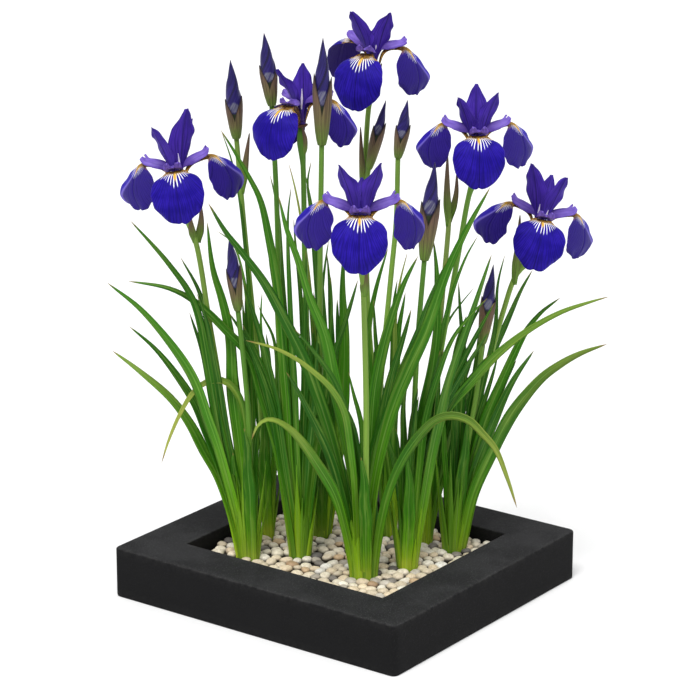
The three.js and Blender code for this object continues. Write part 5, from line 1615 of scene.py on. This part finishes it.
def pebble_shape(rng, unit_ball):
    """One worn pebble of size 1: a rounded box with flats and a hollow or two, tipped and turned."""
    bulges = unit(rng.normal(size=(4, 3)))
    facing = unit_ball @ bulges.T
    boxy = (np.abs(unit_ball) ** 2.5).sum(1) ** (-1 / 2.5)
    shape = boxy * (1 + 0.07 * np.tanh(3 * facing[:, 0]) - 0.09 * smooth(facing[:, 1], 0.55, 1.0)
                    - 0.10 * smooth(facing[:, 2], 0.6, 1.0) + 0.05 * facing[:, 3] ** 2)
    squash = np.array([1.0, rng.uniform(0.78, 0.98), rng.uniform(0.6, 0.8)])
    turn, tip = rng.uniform(0, FULL_WAVE), rng.uniform(-0.3, 0.3)
    return unit_ball * shape[:, None] * squash @ roll_in_picture(tip) @ turn_about_up(turn)


def pebble_parts(rng, count, small, large, level, sides, bands, light):
    """A layer of pebbles, each darker toward its underside as painted shade."""
    place, radius, top = scatter_bed(count, small, large, level, rng)
    unit_ball, faces = ball(sides, bands)
    tones = np.array([srgb(*tone) for tone, _ in PALETTE])
    chance = np.array([share for _, share in PALETTE])
    chosen = rng.choice(len(PALETTE), count, p=chance / chance.sum())
    points, shadows = [], []
    for spot, size, height in zip(place, radius, top):
        body = pebble_shape(rng, unit_ball) * size
        sunk = body[:, 2].max() - body[:, 2]
        points.append(body + [*spot, height - body[:, 2].max()])
        # Painted shade: each pebble's colour darkens toward its underside and the gaps beside it
        shadows.append(1 - 0.88 * smooth(sunk / size, 0.25, 0.8))
    step = len(unit_ball)
    all_faces = [[i + k * step for i in face] for k in range(count) for face in faces]
    # The layer's light share darkens the lower layer's colours as painted shade under the upper one
    shade = tones[chosen] * rng.uniform(0.86, 1.06, (count, 1)) * light
    shade = np.repeat(shade, step, 0) * np.concatenate(shadows)[:, None]
    return [part_of(np.concatenate(points), all_faces, shade=shade)]


def bed_part(rng):
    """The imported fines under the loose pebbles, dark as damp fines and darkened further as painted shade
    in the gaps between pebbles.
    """
    half_x, half_y = TRAY_LENGTH / 2 - RIM_WIDTH - GAP, TRAY_DEPTH / 2 - RIM_WIDTH - GAP
    x, y = np.meshgrid(np.linspace(-half_x, half_x, 70), np.linspace(-half_y, half_y, 62))
    top = FINES_TOP + 1.4 * np.sin(x / 3.1) * np.sin(y / 2.7) + rng.uniform(-0.6, 0.6, x.shape)
    bottom = SOIL_TOP + GAP
    part = sheet(np.stack([x, y, (top + bottom) / 2], -1), np.zeros(x.shape), np.zeros((*x.shape, 2)))
    part["points"][:x.size, 2] = top.ravel()
    part["points"][x.size:, 2] = bottom
    part["values"] = {"shade": np.tile(np.array(FINES_AND_GAP_SHADE_COLOUR), (2 * x.size, 1))}
    return part


# The whole plant

SEEDS = {"bed": 7, "sprout": 9, "flower": 100, "flower_stem": 200, "bud_stem": 300, "spent_stem": 340,
         "bud": 400, "clump": 500}
# The flower whose stem carries the side bud
BRANCHED_FLOWER = 3


def build_tray_and_bed():
    rng = np.random.default_rng(SEEDS["bed"])
    parts = [bed_part(rng)]
    parts += pebble_parts(rng, **LOWER_LAYER)
    parts += pebble_parts(rng, **UPPER_LAYER)
    piece("pebble_bed", parts, PEBBLE, "pebbles", "pebbles")
    piece("stone_tray", [tray_part(rng)], STONE, "tray", "tray", sharp=50)
    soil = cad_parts["soil"]
    soil.data.materials.clear()
    soil.data.materials.append(SOIL)


def build_stem(node, plant, top, seed, swelling=False, brown=0.0):
    """A stem's stalk; returns its bracts, not yet made into an object, and its random draws."""
    rng = np.random.default_rng(seed)
    curve, radii = stem_curve(plant, top)
    if swelling:
        radii[-2:] = [SWELLING_RADIUS, STEM_TOP_RADIUS]
    stalk = tube(curve, radii, STALK_SIDES, STALK_SPACING, STALK_RIBS, tint=rng.uniform(), brown=brown)
    piece(f"{node}_stalk", [stalk], STEM, "stem", node)
    return [bract(row, curve, rng) for row in plant["bracts"]], rng


def build_side_bud_stalk():
    base, tip, _, _ = bud_axis(SIDE_BUD)
    points = [sight(*SIDE_BUD["stalk"], SIDE_BUD["stalk_near"]), base, base + SIDE_BUD_SEAT * (tip - base)]
    stalk = spindle(points, SIDE_STALK_RADII, SIDE_STALK_SIDES, tint=0.5, brown=0.2)
    piece("side_bud_stalk", [stalk], STEM, "stem")


def build_flower_stems():
    for number, flower in enumerate(FLOWERS, 1):
        to_plant, _ = flower_frame(flower)
        top = [to_plant([0, 0, SWELLING_LEVEL]), to_plant([0, 0, STEM_TOP_LEVEL])]
        node = f"flower_stem_{number}"
        bracts, rng = build_stem(node, flower, top, SEEDS["flower_stem"] + number, swelling=True)
        if number == BRANCHED_FLOWER:
            build_side_bud_stalk()
            bracts += valve_parts(SIDE_BUD, rng)
        if bracts:
            piece(f"{node}_bracts", bracts, SPATHE, "stem")


def build_bud_stems():
    for number, bud in enumerate(BUDS, 1):
        base, tip, _, _ = bud_axis(bud)
        node = f"bud_stem_{number}"
        bracts, rng = build_stem(node, bud, [base + BUD_SEAT * (tip - base)], SEEDS["bud_stem"] + number)
        piece(f"{node}_bracts", bracts + valve_parts(bud, rng), SPATHE, "stem")


def build_spent_stem():
    top = sight(*SPENT_SHOOT["top"], SPENT_SHOOT["near"])
    bracts, _ = build_stem("spent_stem", SPENT_SHOOT, [top], SEEDS["spent_stem"], brown=0.25)
    piece("spent_stem_bracts", bracts, SPATHE, "stem")


def build_buds():
    for number, bud in enumerate([*BUDS, SIDE_BUD], 1):
        rng = np.random.default_rng(SEEDS["bud"] + number)
        piece(f"bud_{number}_petals", [bud_part(bud, rng)], BUD, "bud", f"bud_{number}")


def build_clumps():
    for number, name in enumerate(CLUMPS):
        rng = np.random.default_rng(SEEDS["clump"] + number)
        piece(f"leaves_{name}", clump_parts(name, rng), LEAF, "leaf", f"leaf_clump_{name}")


def build_sprout():
    pairs = pairs_of(SPROUT["trace"])
    near = TOWARD @ sight_on_level(*pairs[-1], PEBBLE_TOP + GAP)
    curve = curve_from_trace(pairs, near, near - 3)
    rng = np.random.default_rng(SEEDS["sprout"])
    shoot = blade(curve, SPROUT["width"], 0.0, 0.6, 0.3, rng, root=4.0)
    piece("sprout_blade", [shoot], LEAF, "leaf", "sprout")


# Floor, light and camera

FLOOR_HALF = 60.0
FLOOR_COLOUR = srgb(236, 236, 236)
SKY_STRENGTH = 0.55
# Each light's strength, its width in the sky (degrees) and the direction that it comes from
LIGHTS = {
    "key": (2.9, 30, -RIGHT * 0.45 + TOWARD * 1.1 + UP * 2.5),
    "fill": (0.6, 60, RIGHT * 1.5 + TOWARD * 0.6 + UP * 1.6),
}


def build_floor():
    mesh = bpy.data.meshes.new("floor")
    corners = [(FLOOR_HALF * x, FLOOR_HALF * y, 0) for x, y in ((-1, -1), (1, -1), (1, 1), (-1, 1))]
    mesh.from_pydata(corners, [], [(0, 1, 2, 3)])
    floor = bpy.data.objects.new("floor", mesh)
    bpy.context.scene.collection.objects.link(floor)
    white = Finish("floor", Roughness=0.6, Specular_IOR_Level=0.2, Base_Color=FLOOR_COLOUR)
    mesh.materials.append(white.material)


def aim(thing, place, target):
    thing.location = Vector(place)
    thing.rotation_euler = Vector(target - place).to_track_quat("-Z", "Y").to_euler()


def build_lights():
    world = bpy.data.worlds.new("studio")
    world.use_nodes = True
    sky = world.node_tree.nodes["Background"].inputs
    sky["Color"].default_value = (1.0, 1.0, 1.0, 1.0)
    sky["Strength"].default_value = SKY_STRENGTH
    bpy.context.scene.world = world
    bpy.context.scene.view_settings.view_transform = "Standard"
    for name, (strength, width, direction) in LIGHTS.items():
        light = bpy.data.lights.new(name, "SUN")
        light.energy = strength
        light.angle = math.radians(width)
        thing = bpy.data.objects.new(name, light)
        bpy.context.scene.collection.objects.link(thing)
        aim(thing, direction, np.zeros(3))


def build_camera():
    lens = bpy.data.cameras.new("camera")
    lens.sensor_width = SENSOR_WIDTH
    lens.lens = VIEW_FOCAL / VIEW_SIDE * SENSOR_WIDTH
    lens.clip_start, lens.clip_end = 0.1, 100.0
    camera = bpy.data.objects.new("camera", lens)
    bpy.context.scene.collection.objects.link(camera)
    aim(camera, EYE * MM, VIEW_TARGET * MM)
    bpy.context.scene.camera = camera


build_floor()
build_lights()
build_camera()
build_tray_and_bed()
build_flower_stems()
build_bud_stems()
build_spent_stem()
build_buds()
build_clumps()
for number, flower in enumerate(FLOWERS, 1):
    build_flower(number, flower)
build_sprout()
